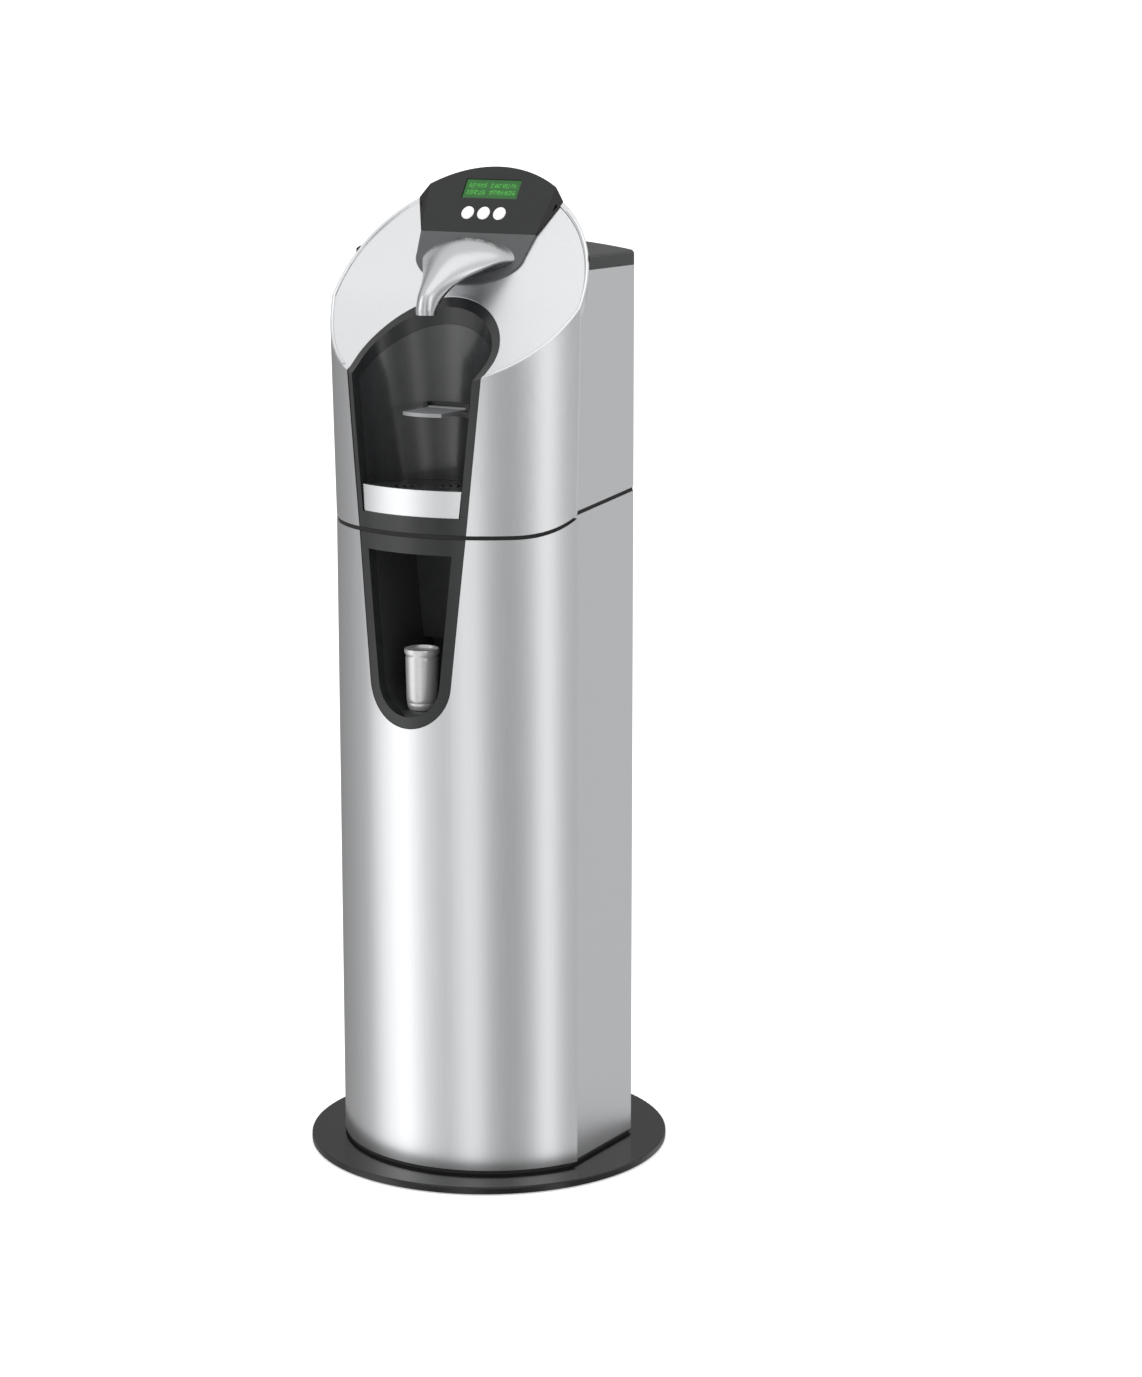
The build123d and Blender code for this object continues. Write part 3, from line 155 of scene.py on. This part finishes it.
# Satin-plated die-cast spout.
spoutMetal = metalFinish("satinPlatedZinc", {
    "dark": "#b9babc", "light": "#c2c3c5", "roughness": 0.27, "spread": 0.02,
    "grain": (500.0, 500.0, 500.0), "bump": 0.01,
})
# Polished stainless of the tumbler, spun on a lathe: rings run round it.
tumblerSteel = metalFinish("spunStainlessTumbler", {
    "dark": "#c2c2c2", "light": "#d6d6d6", "roughness": 0.34, "spread": 0.04,
    "grain": (40.0, 40.0, 2500.0), "bump": 0.05, "metallic": 0.6,
})
# Silver lacquer of the cup shelf: half metal, half paint, so it stays pale in the dark niche.
shelfSilver = metalFinish("silverLacquerShelf", {
    "dark": "#8b8c8e", "light": "#989a9b", "roughness": 0.38, "spread": 0.04,
    "grain": (700.0, 700.0, 700.0), "bump": 0.03, "metallic": 0.35,
})
# Zinc-coated sheet of the inner plates: dull, with a soft cloudy spangle.
zincSheet = metalFinish("zincCoatedSheet", {
    "dark": "#8e9193", "light": "#a6a9aa", "roughness": 0.42, "spread": 0.08,
    "grain": (120.0, 120.0, 120.0), "bump": 0.05,
})
# Grey lacquer over the steel back panels: flat and even.
greyPaint = metalFinish("greyLacquerPanel", {
    "dark": "#8f9294", "light": "#9a9d9f", "roughness": 0.45, "spread": 0.04,
    "grain": (700.0, 700.0, 700.0), "bump": 0.04, "metallic": 0.8,
})
# Mill-finish aluminium fins of the condenser.
finAluminium = metalFinish("millAluminiumFins", {
    "dark": "#c4c6c7", "light": "#d8d9da", "roughness": 0.35, "spread": 0.06,
    "grain": (400.0, 400.0, 40.0), "bump": 0.05,
})
# Glossy black lacquer of the base plate.
plateLacquer = mouldedFinish("blackPianoLacquer", {
    "dark": "#0b0b0c", "light": "#111112", "roughness": 0.20, "spread": 0.03,
    "peel": 350.0, "bump": 0.02, "coat": 0.1, "ior": 1.38,
})
# Charcoal ABS with a polished face, for the frames of both niches.
charcoalGloss = mouldedFinish("charcoalPolishedAbs", {
    "dark": "#202122", "light": "#292a2b", "roughness": 0.20, "spread": 0.03,
    "peel": 600.0, "bump": 0.03, "coat": 0.1, "ior": 1.4,
})
# The niche linings: the same plastic a shade paler, with soft upright highlights.
linerAbs = mouldedFinish("charcoalLinerAbs", {
    "dark": "#2a2b2c", "light": "#343536", "roughness": 0.22, "spread": 0.03,
    "peel": 700.0, "bump": 0.03, "coat": 0.2, "ior": 1.55,
})
# The rear lid: low-sheen charcoal, so its top stays dark against the room.
lidAbs = mouldedFinish("charcoalLidAbs", {
    "dark": "#2c2d2e", "light": "#363738", "roughness": 0.34, "spread": 0.04,
    "peel": 900.0, "bump": 0.05, "ior": 1.35,
})
# Charcoal ABS with a satin face: the drip grille and the fan.
charcoalSatin = mouldedFinish("charcoalSatinAbs", {
    "dark": "#2b2c2d", "light": "#353637", "roughness": 0.36, "spread": 0.04,
    "peel": 1200.0, "bump": 0.06,
})
# The control panel: satin on its face, polished on the flanks that slope down its sides, where a near-black
# painted shade is mixed into the colour.
panelAbs = mouldedFinish("charcoalPanelAbs", {
    "dark": "#1d1e1f", "light": "#242526", "roughness": 0.40, "spread": 0.03,
    "peel": 1200.0, "bump": 0.05, "ior": 1.38,
})


# Mixes a second colour and gloss into a finish wherever the surface faces sideways, past a given share; the
# second colour is painted shade, the gloss is real.
def glossAndShadeSides(material, look):
    tree = material.node_tree
    shader = next(node for node in tree.nodes if node.type == "BSDF_PRINCIPLED")
    place = addNode(tree, "ShaderNodeTexCoord")
    part = addNode(tree, "ShaderNodeSeparateXYZ", {}, {"Vector": place.outputs["Normal"]})
    sideways = addNode(tree, "ShaderNodeMath", {"operation": "ABSOLUTE"}, {0: part.outputs["X"]})
    past = addNode(
        tree, "ShaderNodeMath", {"operation": "GREATER_THAN", 1: look["past"]}, {0: sideways.outputs[0]},
    )
    tone = addNode(tree, "ShaderNodeMix", {"data_type": "RGBA", 7: linearColour(look["colour"])}, {
        "Factor": past.outputs[0], 6: shader.inputs["Base Color"].links[0].from_socket,
    })
    dull = addNode(tree, "ShaderNodeMix", {"data_type": "FLOAT", 3: look["roughness"]}, {
        "Factor": past.outputs[0], 2: shader.inputs["Roughness"].links[0].from_socket,
    })
    tree.links.new(tone.outputs[2], shader.inputs["Base Color"])
    tree.links.new(dull.outputs[0], shader.inputs["Roughness"])


# The flanks get a real lower roughness and a near-black painted shade in place of their own colour.
glossAndShadeSides(panelAbs, {"past": 0.3, "colour": "#0b0b0c", "roughness": 0.12})

# Spark-grained charcoal ABS of brackets, plinth and drip tray: fine texture, little shine.
charcoalGrain = mouldedFinish("charcoalGrainedAbs", {
    "dark": "#232425", "light": "#2e2f30", "roughness": 0.45, "spread": 0.05,
    "peel": 1500.0, "bump": 0.15,
})
# Mid-grey satin ABS round the spout.
greyMatt = mouldedFinish("greySatinAbs", {
    "dark": "#474849", "light": "#525354", "roughness": 0.38, "spread": 0.04,
    "peel": 1200.0, "bump": 0.06,
})
# Polished white ABS of buttons, filter and fittings.
whiteAbs = mouldedFinish("whitePolishedAbs", {
    "dark": "#eeeeec", "light": "#f8f8f6", "roughness": 0.22, "spread": 0.02,
    "peel": 500.0, "bump": 0.02, "coat": 0.2,
})
# Black EPDM rubber: almost no shine.
blackRubber = mouldedFinish("blackEpdmRubber", {
    "dark": "#060606", "light": "#0b0b0b", "roughness": 0.7, "spread": 0.05,
    "peel": 2000.0, "bump": 0.2,
})
# Stove enamel of the compressor: deep black with a slight orange-peel.
blackEnamel = mouldedFinish("blackStoveEnamel", {
    "dark": "#101011", "light": "#19191a", "roughness": 0.28, "spread": 0.04,
    "peel": 300.0, "bump": 0.1,
})
# Milky polyethylene of the water tubes.
tubePe = mouldedFinish("milkyPolyethyleneTube", {
    "dark": "#c4c9cc", "light": "#d6dadc", "roughness": 0.35, "spread": 0.03,
    "peel": 800.0, "bump": 0.02,
})
# Solder mask over the circuit boards.
boardGreen = mouldedFinish("greenCircuitBoard", {
    "dark": "#0f4020", "light": "#17552c", "roughness": 0.35, "spread": 0.05,
    "peel": 900.0, "bump": 0.1, "mottle": 300.0,
})
# Closed-cell foam round the cold tank.
foamBlack = mouldedFinish("blackCellFoam", {
    "dark": "#1d1d1e", "light": "#2a2a2b", "roughness": 0.85, "spread": 0.05,
    "peel": 900.0, "bump": 0.6,
})


# Lit display glass: a dark green layer that gives off a little light, with a faint cloud in it.
def glowFinish(name, look):
    material, tree = newMaterial(name)
    place = addNode(tree, "ShaderNodeTexCoord")
    cloud = addNode(tree, "ShaderNodeTexNoise", {"Scale": look["cloud"], "Detail": 2.0}, {
        "Vector": place.outputs["Object"],
    })
    tone = addNode(tree, "ShaderNodeMix", {
        "data_type": "RGBA", 6: linearColour(look["dark"]), 7: linearColour(look["light"]),
    }, {"Factor": cloud.outputs["Fac"]})
    shader = addNode(tree, "ShaderNodeBsdfPrincipled", {
        "Roughness": look["roughness"], "Emission Strength": look["glow"],
    }, {"Base Color": tone.outputs[2], "Emission Color": tone.outputs[2]})
    addNode(tree, "ShaderNodeOutputMaterial", {}, {"Surface": shader.outputs["BSDF"]})
    return material


# Backlit liquid-crystal glass: dim leaf green, and the brighter dots of its signs.
displayGreen = glowFinish("backlitDisplayGlass", {
    "dark": "#124d17", "light": "#1b5f1e", "roughness": 0.25, "glow": 0.26, "cloud": 40.0,
})
displayLit = glowFinish("litDisplayDots", {
    "dark": "#3f9a38", "light": "#4fae42", "roughness": 0.4, "glow": 0.45, "cloud": 60.0,
})

# The finish of each CAD node.
nodeFinish = {
    "base_pad": blackRubber, "base_plate": plateLacquer, "plinth": charcoalGrain,
    "cabinet_floor": zincSheet, "cabinet_front_shell": casingSteel,
    "cabinet_side_left": sidePaint, "cabinet_side_right": sidePaint,
    "cabinet_rear_panel": greyPaint, "cabinet_top_deck": zincSheet,
    "lower_niche_frame": charcoalGloss, "lower_niche_liner": linerAbs,
    "steel_beaker": tumblerSteel, "filter_bracket": zincSheet, "filter_head": whiteAbs,
    "filter_cartridge": whiteAbs, "water_inlet": whiteAbs, "leak_stop_valve": charcoalGrain,
    "inlet_tube": tubePe, "riser_tube": tubePe, "tube_grommet": blackRubber,
    "seam_gasket": blackRubber, "casing_pan": zincSheet, "head_shell": casingSteel,
    "casing_side_left": sidePaint, "casing_side_right": sidePaint, "casing_rear_panel": greyPaint,
    "rear_lid": lidAbs, "collar": faceAluminium, "control_panel": panelAbs,
    "spout_surround": greyMatt, "lcd_window": displayGreen, "lcd_module": boardGreen,
    "control_board": boardGreen, "button_left": whiteAbs, "button_middle": whiteAbs,
    "button_right": whiteAbs, "spout": spoutMetal, "nozzle_insert": charcoalGrain,
    "upper_niche_frame": charcoalGloss, "upper_niche_liner": linerAbs,
    "drip_tray_front": faceAluminium, "drip_tray": charcoalGrain, "drip_grille": charcoalSatin,
    "cup_shelf": shelfSilver, "shelf_pin": tumblerSteel, "shelf_bracket": charcoalGrain,
    "tank_insulation": foamBlack, "cold_tank": tumblerSteel, "compressor_feet": blackRubber,
    "compressor": blackEnamel, "condenser": finAluminium, "fan_shroud": charcoalGrain,
    "fan_rotor": charcoalSatin, "power_supply": zincSheet, "valve_bracket": zincSheet,
    "valve_block": whiteAbs, "outlet_tube": tubePe, "tank_tube": tubePe,
    "mains_inlet": charcoalGrain, "casing_screws": tumblerSteel,
}
for node, finish in nodeFinish.items():
    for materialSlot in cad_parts[node].material_slots:
        materialSlot.material = finish
print("finishes set on", len(nodeFinish), "nodes")


sharpAngle = 42.0             # degrees; a steeper fold between faces stays an edge


# Piece from a (rows, columns, 3) grid in metres: each face joins four neighbouring points.
# wrap joins the last column to the first, caps closes the end rows and flip turns the faces round.
def meshFromGrid(name, grid, finish, body, wrap=False, caps=False, flip=False):
    rows, columns = grid.shape[:2]
    down = np.arange(rows - 1)[:, None] * columns
    across = np.arange(columns if wrap else columns - 1)[None, :]
    beside = (across + 1) % columns
    quads = np.stack([down + across, down + beside, down + columns + beside, down + columns + across], -1)
    faces = quads.reshape(-1, 4).tolist()
    if caps:
        faces += [list(range(columns))[::-1], list(range((rows - 1) * columns, rows * columns))]
    mesh = bpy.data.meshes.new(name)
    mesh.from_pydata(grid.reshape(-1, 3).tolist(), [], faces)
    if flip:
        mesh.flip_normals()
    mesh.polygons.foreach_set("use_smooth", [True] * len(faces))
    mesh.set_sharp_from_angle(angle=math.radians(sharpAngle))
    mesh.materials.append(finish)
    mesh.update()
    piece = bpy.data.objects.new(name, mesh)
    scene.collection.objects.link(piece)
    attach(piece, body)
    return piece


# Smooth values through evenly spaced keys: a Catmull-Rom cubic between each pair.
def easedKeys(keys, count):
    keys = np.asarray(keys, float)
    spot = np.linspace(0, len(keys) - 1, count)
    low = np.clip(spot.astype(int), 0, len(keys) - 2)
    part = (spot - low)[:, None]
    padded = np.concatenate([2 * keys[:1] - keys[1:2], keys, 2 * keys[-1:] - keys[-2:-1]])
    a, b, c, d = (padded[low + shift] for shift in range(4))
    square = (2 * a - 5 * b + 4 * c - d) * part**2
    cube = (3 * b - a - 3 * c + d) * part**3
    return 0.5 * (2 * b + (c - a) * part + square + cube)


spoutPlan = {
    # Along the spout, in mm: centre Y and Z, turn of the section in degrees down from level, half-width,
    # rise above and below the centre, and the power that draws the sides to a crease.
    "keys": [
        (-35.9, 1125.5, -34.6, 65.0, 29.5, 22.0, 1.25),
        (-52.5, 1124.5, -16.0, 56.0, 26.5, 19.0, 1.45),
        (-72.0, 1117.5, 6.0, 43.0, 22.0, 15.5, 1.55),
        (-91.0, 1108.0, 24.0, 30.0, 17.0, 13.0, 1.50),
        (-107.5, 1096.5, 44.0, 20.5, 14.5, 12.0, 1.20),
        (-121.0, 1082.5, 68.0, 14.6, 16.5, 12.4, 1.03),
        (-129.0, 1070.5, 86.0, 12.7, 13.2, 12.2, 1.00),
        (-130.0, 1063.9, 90.0, 12.0, 12.0, 12.0, 1.00),
    ],
    "rows": 72, "columns": 96,
    "mouthY": -130.0,
    "mouth": [(0.80, 0.0), (0.76, 0.4), (0.76, 10.0)],     # rings into the bore: share of the tip, rise in mm
}


# Sections turned about X along the spout. Each is an ellipse whose height is raised to a power above 1, which
# draws its sides to a crease. The last section is shrunk in steps to make the bore.
def spoutSurface(plan):
    keys = easedKeys(plan["keys"], plan["rows"])
    y, z, turn, half, above, below, crease = (keys[:, i:i + 1] for i in range(7))
    around = np.linspace(0, 2 * np.pi, plan["columns"], endpoint=False)[None, :]
    turn = np.radians(turn)
    wide = half * np.cos(around)
    lift = np.sign(np.sin(around)) * np.abs(np.sin(around)) ** crease
    lift = lift * np.where(np.sin(around) > 0, above, below)
    # The section's upright direction leans forward as the spout turns down.
    grid = np.stack([wide, y - lift * np.sin(turn), z + lift * np.cos(turn)], -1)
    middle = (0, plan["mouthY"])
    rings = [grid]
    for shrink, rise in plan["mouth"]:
        ring = grid[-1:].copy()
        ring[..., :2] = (ring[..., :2] - middle) * shrink + middle
        ring[..., 2] += rise
        rings.append(ring)
    return np.concatenate(rings) * mm


spoutPiece = meshFromGrid("castSpout", spoutSurface(spoutPlan), spoutMetal, "casing", wrap=True, caps=True)
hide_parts("spout")
print("spout done")

# The head that the rolled rim follows, in mm and degrees.
headPlan = {
    "radius": 189.5, "flare": 0.02, "foot": 808.0, "centreY": 8.7, "axisY": -70.0, "depth": 103.0,
    "slope": 54.6, "faceZ": 1173.0, "curveY": -60.0, "curve": 340.0,
    "firstHeight": 1080.0, "passes": 12,      # the rim's height is found by repeating from this one
    "frontShare": 0.55,                       # part of the rim that lies on the front arc
}


# Height of the inclined face: a straight slope that curls forward below its lower end.
def faceHeight(y):
    plan = headPlan
    rise = math.radians(plan["slope"])
    straight = plan["faceZ"] + y * math.tan(rise)
    centreY = plan["curveY"] - plan["curve"] * math.sin(rise)
    centreZ = plan["faceZ"] + plan["curveY"] * math.tan(rise) + plan["curve"] * math.cos(rise)
    curled = centreZ - np.sqrt(np.maximum(plan["curve"] ** 2 - (y - centreY) ** 2, 1.0))
    return np.where(y > plan["curveY"], straight, curled)


# Where the head's wall, moved in by inset, meets the face: a front arc, then half an ellipse at the back.
# The arc's radius grows with height, so height and radius are worked out in turn until they agree.
# start and stop are shares of the way from the middle of the front (0) to the middle of the back (1).
def rimLine(inset, start, stop, count):
    plan = headPlan
    share = np.linspace(start, stop, count)
    height = np.full(count, plan["firstHeight"])
    for _ in range(plan["passes"]):
        radius = plan["radius"] + plan["flare"] * (height - plan["foot"]) - inset
        half = np.sqrt(radius**2 - (plan["centreY"] - plan["axisY"]) ** 2)
        reach = np.arcsin(half / radius)      # the front arc's half-angle at the head's axis
        front = reach * np.clip(share / plan["frontShare"], 0, 1)
        back = np.pi / 2 * np.clip((share - plan["frontShare"]) / (1 - plan["frontShare"]), 0, 1)
        onArc = share <= plan["frontShare"]
        x = np.where(onArc, radius * np.sin(front), half * np.cos(back))
        y = np.where(
            onArc, plan["centreY"] - radius * np.cos(front),
            plan["axisY"] + (plan["depth"] - inset) * np.sin(back),
        )
        height = faceHeight(y)
    return np.stack([x, y, height], -1)


rimPlan = {"inset": 2.0, "start": 0.284, "stop": 0.80, "count": 220, "radius": 2.35, "sink": 0.9, "around": 14}


# A round bead carried along the rim: circles in the plane across the line.
def rimTube(plan, side):
    line = rimLine(plan["inset"], plan["start"], plan["stop"], plan["count"])
    line = line * (side, 1, 1)
    ahead = np.gradient(line, axis=0)
    ahead /= np.linalg.norm(ahead, axis=1, keepdims=True)
    rise = math.radians(headPlan["slope"])
    up = np.array([0, -math.sin(rise), math.cos(rise)])
    up = up - ahead * (ahead @ up)[:, None]
    up /= np.linalg.norm(up, axis=1, keepdims=True)
    across = np.cross(ahead, up)
    angle = np.linspace(0, 2 * np.pi, plan["around"], endpoint=False)
    line = line - up * plan["sink"]
    ring = (
        line[:, None]
        + plan["radius"] * np.cos(angle)[None, :, None] * across[:, None]
        + plan["radius"] * np.sin(angle)[None, :, None] * up[:, None]
    )
    return ring * mm


for side, name in ((-1, "rimBeadLeft"), (1, "rimBeadRight")):
    bead = meshFromGrid(name, rimTube(rimPlan, side), faceAluminium, "casing", wrap=True, caps=True, flip=True)
print("rim done")

tumblerPlan = {
    # Radius and height of the outline, as shares of the rim's radius and of the full height, from the foot up
    # and in again over the rim.
    "outline": [
        (0.660, 0.000), (0.740, 0.006), (0.790, 0.030), (0.845, 0.075), (0.865, 0.105), (0.845, 0.117),
        (0.845, 0.127), (0.880, 0.140), (0.895, 0.200), (0.910, 0.450), (0.925, 0.800), (0.925, 0.850),
        (0.900, 0.862), (0.900, 0.878), (0.930, 0.892), (0.960, 0.905), (0.985, 0.918), (0.998, 0.932),
        (1.000, 0.950), (0.995, 0.972), (0.970, 0.990), (0.930, 0.994), (0.900, 0.985), (0.885, 0.960),
        (0.870, 0.950), (0.200, 0.950),
    ],
    "columns": 96,
}


# The outline turned about the upright axis through the middle of the CAD tumbler.
def turnedSurface(plan, low, high):
    outline = np.asarray(plan["outline"])
    reach = (high[0] - low[0]) / 2
    angle = np.linspace(0, 2 * np.pi, plan["columns"], endpoint=False)[None, :]
    radius, height = outline[:, :1] * reach, outline[:, 1:] * (high[2] - low[2])
    return np.stack([
        (low[0] + high[0]) / 2 + radius * np.cos(angle),
        (low[1] + high[1]) / 2 + radius * np.sin(angle),
        low[2] + height + 0 * angle,
    ], -1)


tumbler = meshFromGrid(
    "spunTumbler", turnedSurface(tumblerPlan, *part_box("steel_beaker")), tumblerSteel, "steel_beaker",
    wrap=True, caps=True,
)
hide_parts("steel_beaker")
print("tumbler done")

# The control panel's lower edge and slope, in mm and degrees.
panelPlan = {"breakY": -15.452, "breakZ": 1155.052, "slope": 58.0}


# Point of the control panel from distances across it, up it from the break line, and out of it.
def panelPoint(across, up, out):
    rise = math.radians(panelPlan["slope"])
    return np.stack([
        across + 0 * up,
        panelPlan["breakY"] + up * math.cos(rise) - out * math.sin(rise) + 0 * across,
        panelPlan["breakZ"] + up * math.sin(rise) + out * math.cos(rise) + 0 * across,
    ], -1)


displayPlan = {
    "up": 60.5, "sink": 1.12,                 # middle of the display up the panel, and its depth
    "rows": 2, "rowPitch": 9.4, "signs": 13, "signPitch": 5.4, "blank": 5,
    "cell": (7, 5), "dot": 0.72, "dotStep": 1.25, "lit": 0.48, "seed": 7,
}


# Two rows of made-up signs, each five by seven cells. A cell holds a square dot where a random number from
# the seed falls under the share that is lit.
def displayDots(plan):
    rng = np.random.default_rng(plan["seed"])
    tall, broad = plan["cell"]
    lit = rng.random((plan["rows"], plan["signs"], tall, broad)) < plan["lit"]
    lit[:, plan["blank"]] = False             # a blank between two groups
    row, sign, high, wide = np.nonzero(lit)
    pitch = plan["dot"] * plan["dotStep"]
    across = (sign - (plan["signs"] - 1) / 2) * plan["signPitch"] + (wide - (broad - 1) / 2) * pitch
    up = plan["up"] + ((plan["rows"] - 1) / 2 - row) * plan["rowPitch"] + (high - (tall - 1) / 2) * pitch
    corner = plan["dot"] / 2 * np.array([(-1, -1), (1, -1), (1, 1), (-1, 1)])
    out = np.full((len(row), 4), -plan["sink"])
    points = panelPoint(across[:, None] + corner[None, :, 0], up[:, None] + corner[None, :, 1], out) * mm
    mesh = bpy.data.meshes.new("displayDots")
    mesh.from_pydata(points.reshape(-1, 3).tolist(), [], np.arange(len(row) * 4).reshape(-1, 4).tolist())
    return mesh


dotMesh = displayDots(displayPlan)
dotMesh.materials.append(displayLit)
dotPiece = bpy.data.objects.new("displayDots", dotMesh)
scene.collection.objects.link(dotPiece)
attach(dotPiece, "casing")
print("display done")

studio = {
    "floorSize": 400.0,           # metres
    "floorColour": "#fafafa",
    "floorGlow": 0.42,
    "ceiling": 1.02,              # brightness of the sky above the softboxes
    "ceilingFrom": 0.25,          # height of the ray where the ceiling starts to show
    "ceilingTo": 0.75,
    # Upright softboxes and dark flags round the object, as turn and brightness. The turn runs from 0 to 1
    # clockwise from -Y, seen from above.
    "strips": [
        (0.000, 0.60), (0.045, 0.90), (0.105, 1.75), (0.150, 1.30), (0.215, 0.55), (0.290, 0.38),
        (0.365, 0.28), (0.465, 0.28), (0.555, 0.80), (0.640, 0.62), (0.720, 0.55), (0.755, 0.60),
        (0.790, 1.55), (0.825, 0.62), (0.860, 0.42), (0.905, 0.50), (0.955, 1.35), (0.980, 0.95),
    ],
}


# White floor and a sky of soft upright lights. The floor doesn't show in reflections.
def buildStudio(plan):
    half = plan["floorSize"] / 2
    mesh = bpy.data.meshes.new("studioFloor")
    corners = [(-half, -half, 0), (half, -half, 0), (half, half, 0), (-half, half, 0)]
    mesh.from_pydata(corners, [], [(0, 1, 2, 3)])
    floor = bpy.data.objects.new("studioFloor", mesh)
    scene.collection.objects.link(floor)
    material, tree = newMaterial("studioPaper")
    shader = addNode(tree, "ShaderNodeBsdfPrincipled", {
        "Base Color": linearColour(plan["floorColour"]), "Roughness": 0.9,
        "Emission Color": (1, 1, 1, 1), "Emission Strength": plan["floorGlow"],
    })
    addNode(tree, "ShaderNodeOutputMaterial", {}, {"Surface": shader.outputs["BSDF"]})
    mesh.materials.append(material)
    floor.visible_glossy = False

    world = bpy.data.worlds.new("studioSky")
    scene.world = world
    world.use_nodes = True
    tree = world.node_tree
    tree.nodes.clear()
    place = addNode(tree, "ShaderNodeTexCoord")
    part = addNode(tree, "ShaderNodeSeparateXYZ", {}, {"Vector": place.outputs["Generated"]})
    turn = addNode(
        tree, "ShaderNodeMath", {"operation": "ARCTAN2"}, {0: part.outputs["X"], 1: part.outputs["Y"]},
    )
    share = addNode(
        tree, "ShaderNodeMath", {"operation": "MULTIPLY_ADD", 1: 0.5 / math.pi, 2: 0.5},
        {0: turn.outputs["Value"]},
    )
    ramp = addNode(tree, "ShaderNodeValToRGB", {}, {"Fac": share.outputs["Value"]})
    ramp.color_ramp.interpolation = "EASE"
    stops = sorted(plan["strips"]) + [(1.0, plan["strips"][0][1])]
    ramp.color_ramp.elements[-1].position = 1.0
    ramp.color_ramp.elements[-1].color = (stops[-1][1],) * 3 + (1,)
    ramp.color_ramp.elements[0].position = 0.0
    ramp.color_ramp.elements[0].color = (stops[0][1],) * 3 + (1,)
    for where, bright in stops[1:-1]:
        stop = ramp.color_ramp.elements.new(where)
        stop.color = (bright,) * 3 + (1,)
    lift = addNode(tree, "ShaderNodeMapRange", {
        "interpolation_type": "SMOOTHSTEP", "From Min": plan["ceilingFrom"], "From Max": plan["ceilingTo"],
    }, {"Value": part.outputs["Z"]})
    sky = addNode(tree, "ShaderNodeMix", {
        "data_type": "RGBA", 7: (plan["ceiling"],) * 3 + (1,),
    }, {"Factor": lift.outputs["Result"], 6: ramp.outputs["Color"]})
    lit = addNode(tree, "ShaderNodeBackground", {"Strength": 1.0}, {"Color": sky.outputs[2]})
    shown = addNode(tree, "ShaderNodeBackground", {"Color": (1, 1, 1, 1), "Strength": 1.0})
    path = addNode(tree, "ShaderNodeLightPath")
    both = addNode(tree, "ShaderNodeMixShader", {}, {
        0: path.outputs["Is Camera Ray"], 1: lit.outputs["Background"], 2: shown.outputs["Background"],
    })
    addNode(tree, "ShaderNodeOutputWorld", {}, {"Surface": both.outputs["Shader"]})


buildStudio(studio)

softboxes = [
    {"name": "keySoftbox", "at": (-2.4, -2.6, 2.6), "aim": (0, 0, 0.7), "size": (1.2, 2.2), "watts": 7},
    {"name": "fillSoftbox", "at": (2.8, -1.6, 2.2), "aim": (0, 0, 0.7), "size": (1.0, 2.0), "watts": 7},
    {"name": "topSoftbox", "at": (0.2, -0.6, 3.2), "aim": (0, 0, 0.9), "size": (1.8, 1.8), "watts": 6},
]


# Turns a lamp or camera so that it looks at a point.
def aimAt(obj, target):
    obj.rotation_euler = (Vector(target) - Vector(obj.location)).to_track_quat("-Z", "Y").to_euler()


for box in softboxes:
    lamp = bpy.data.lights.new(box["name"], "AREA")
    lamp.shape = "RECTANGLE"
    lamp.size, lamp.size_y = box["size"]
    lamp.energy = box["watts"]
    holder = bpy.data.objects.new(box["name"], lamp)
    scene.collection.objects.link(holder)
    holder.location = box["at"]
    aimAt(holder, box["aim"])
print("studio ready")

cameraPlan = {
    "azimuth": 31.0, "down": 11.59, "target": (0.0905, 0.0544, 0.5865), "distance": 4.0779,
    "lens": 84.97, "sensor": 36.0,
}


# Camera on a sphere round the target: turned to the right of the front, looking slightly down.
def placeCamera(plan):
    side, fall = math.radians(plan["azimuth"]), math.radians(plan["down"])
    away = (math.sin(side) * math.cos(fall), -math.cos(side) * math.cos(fall), math.sin(fall))
    camera = bpy.data.cameras.new("camera")
    camera.lens = plan["lens"]
    camera.sensor_fit = "AUTO"
    camera.sensor_width = plan["sensor"]
    holder = bpy.data.objects.new("camera", camera)
    scene.collection.objects.link(holder)
    holder.location = [t + plan["distance"] * a for t, a in zip(plan["target"], away)]
    aimAt(holder, plan["target"])
    scene.camera = holder


placeCamera(cameraPlan)
scene.view_settings.view_transform = "Standard"
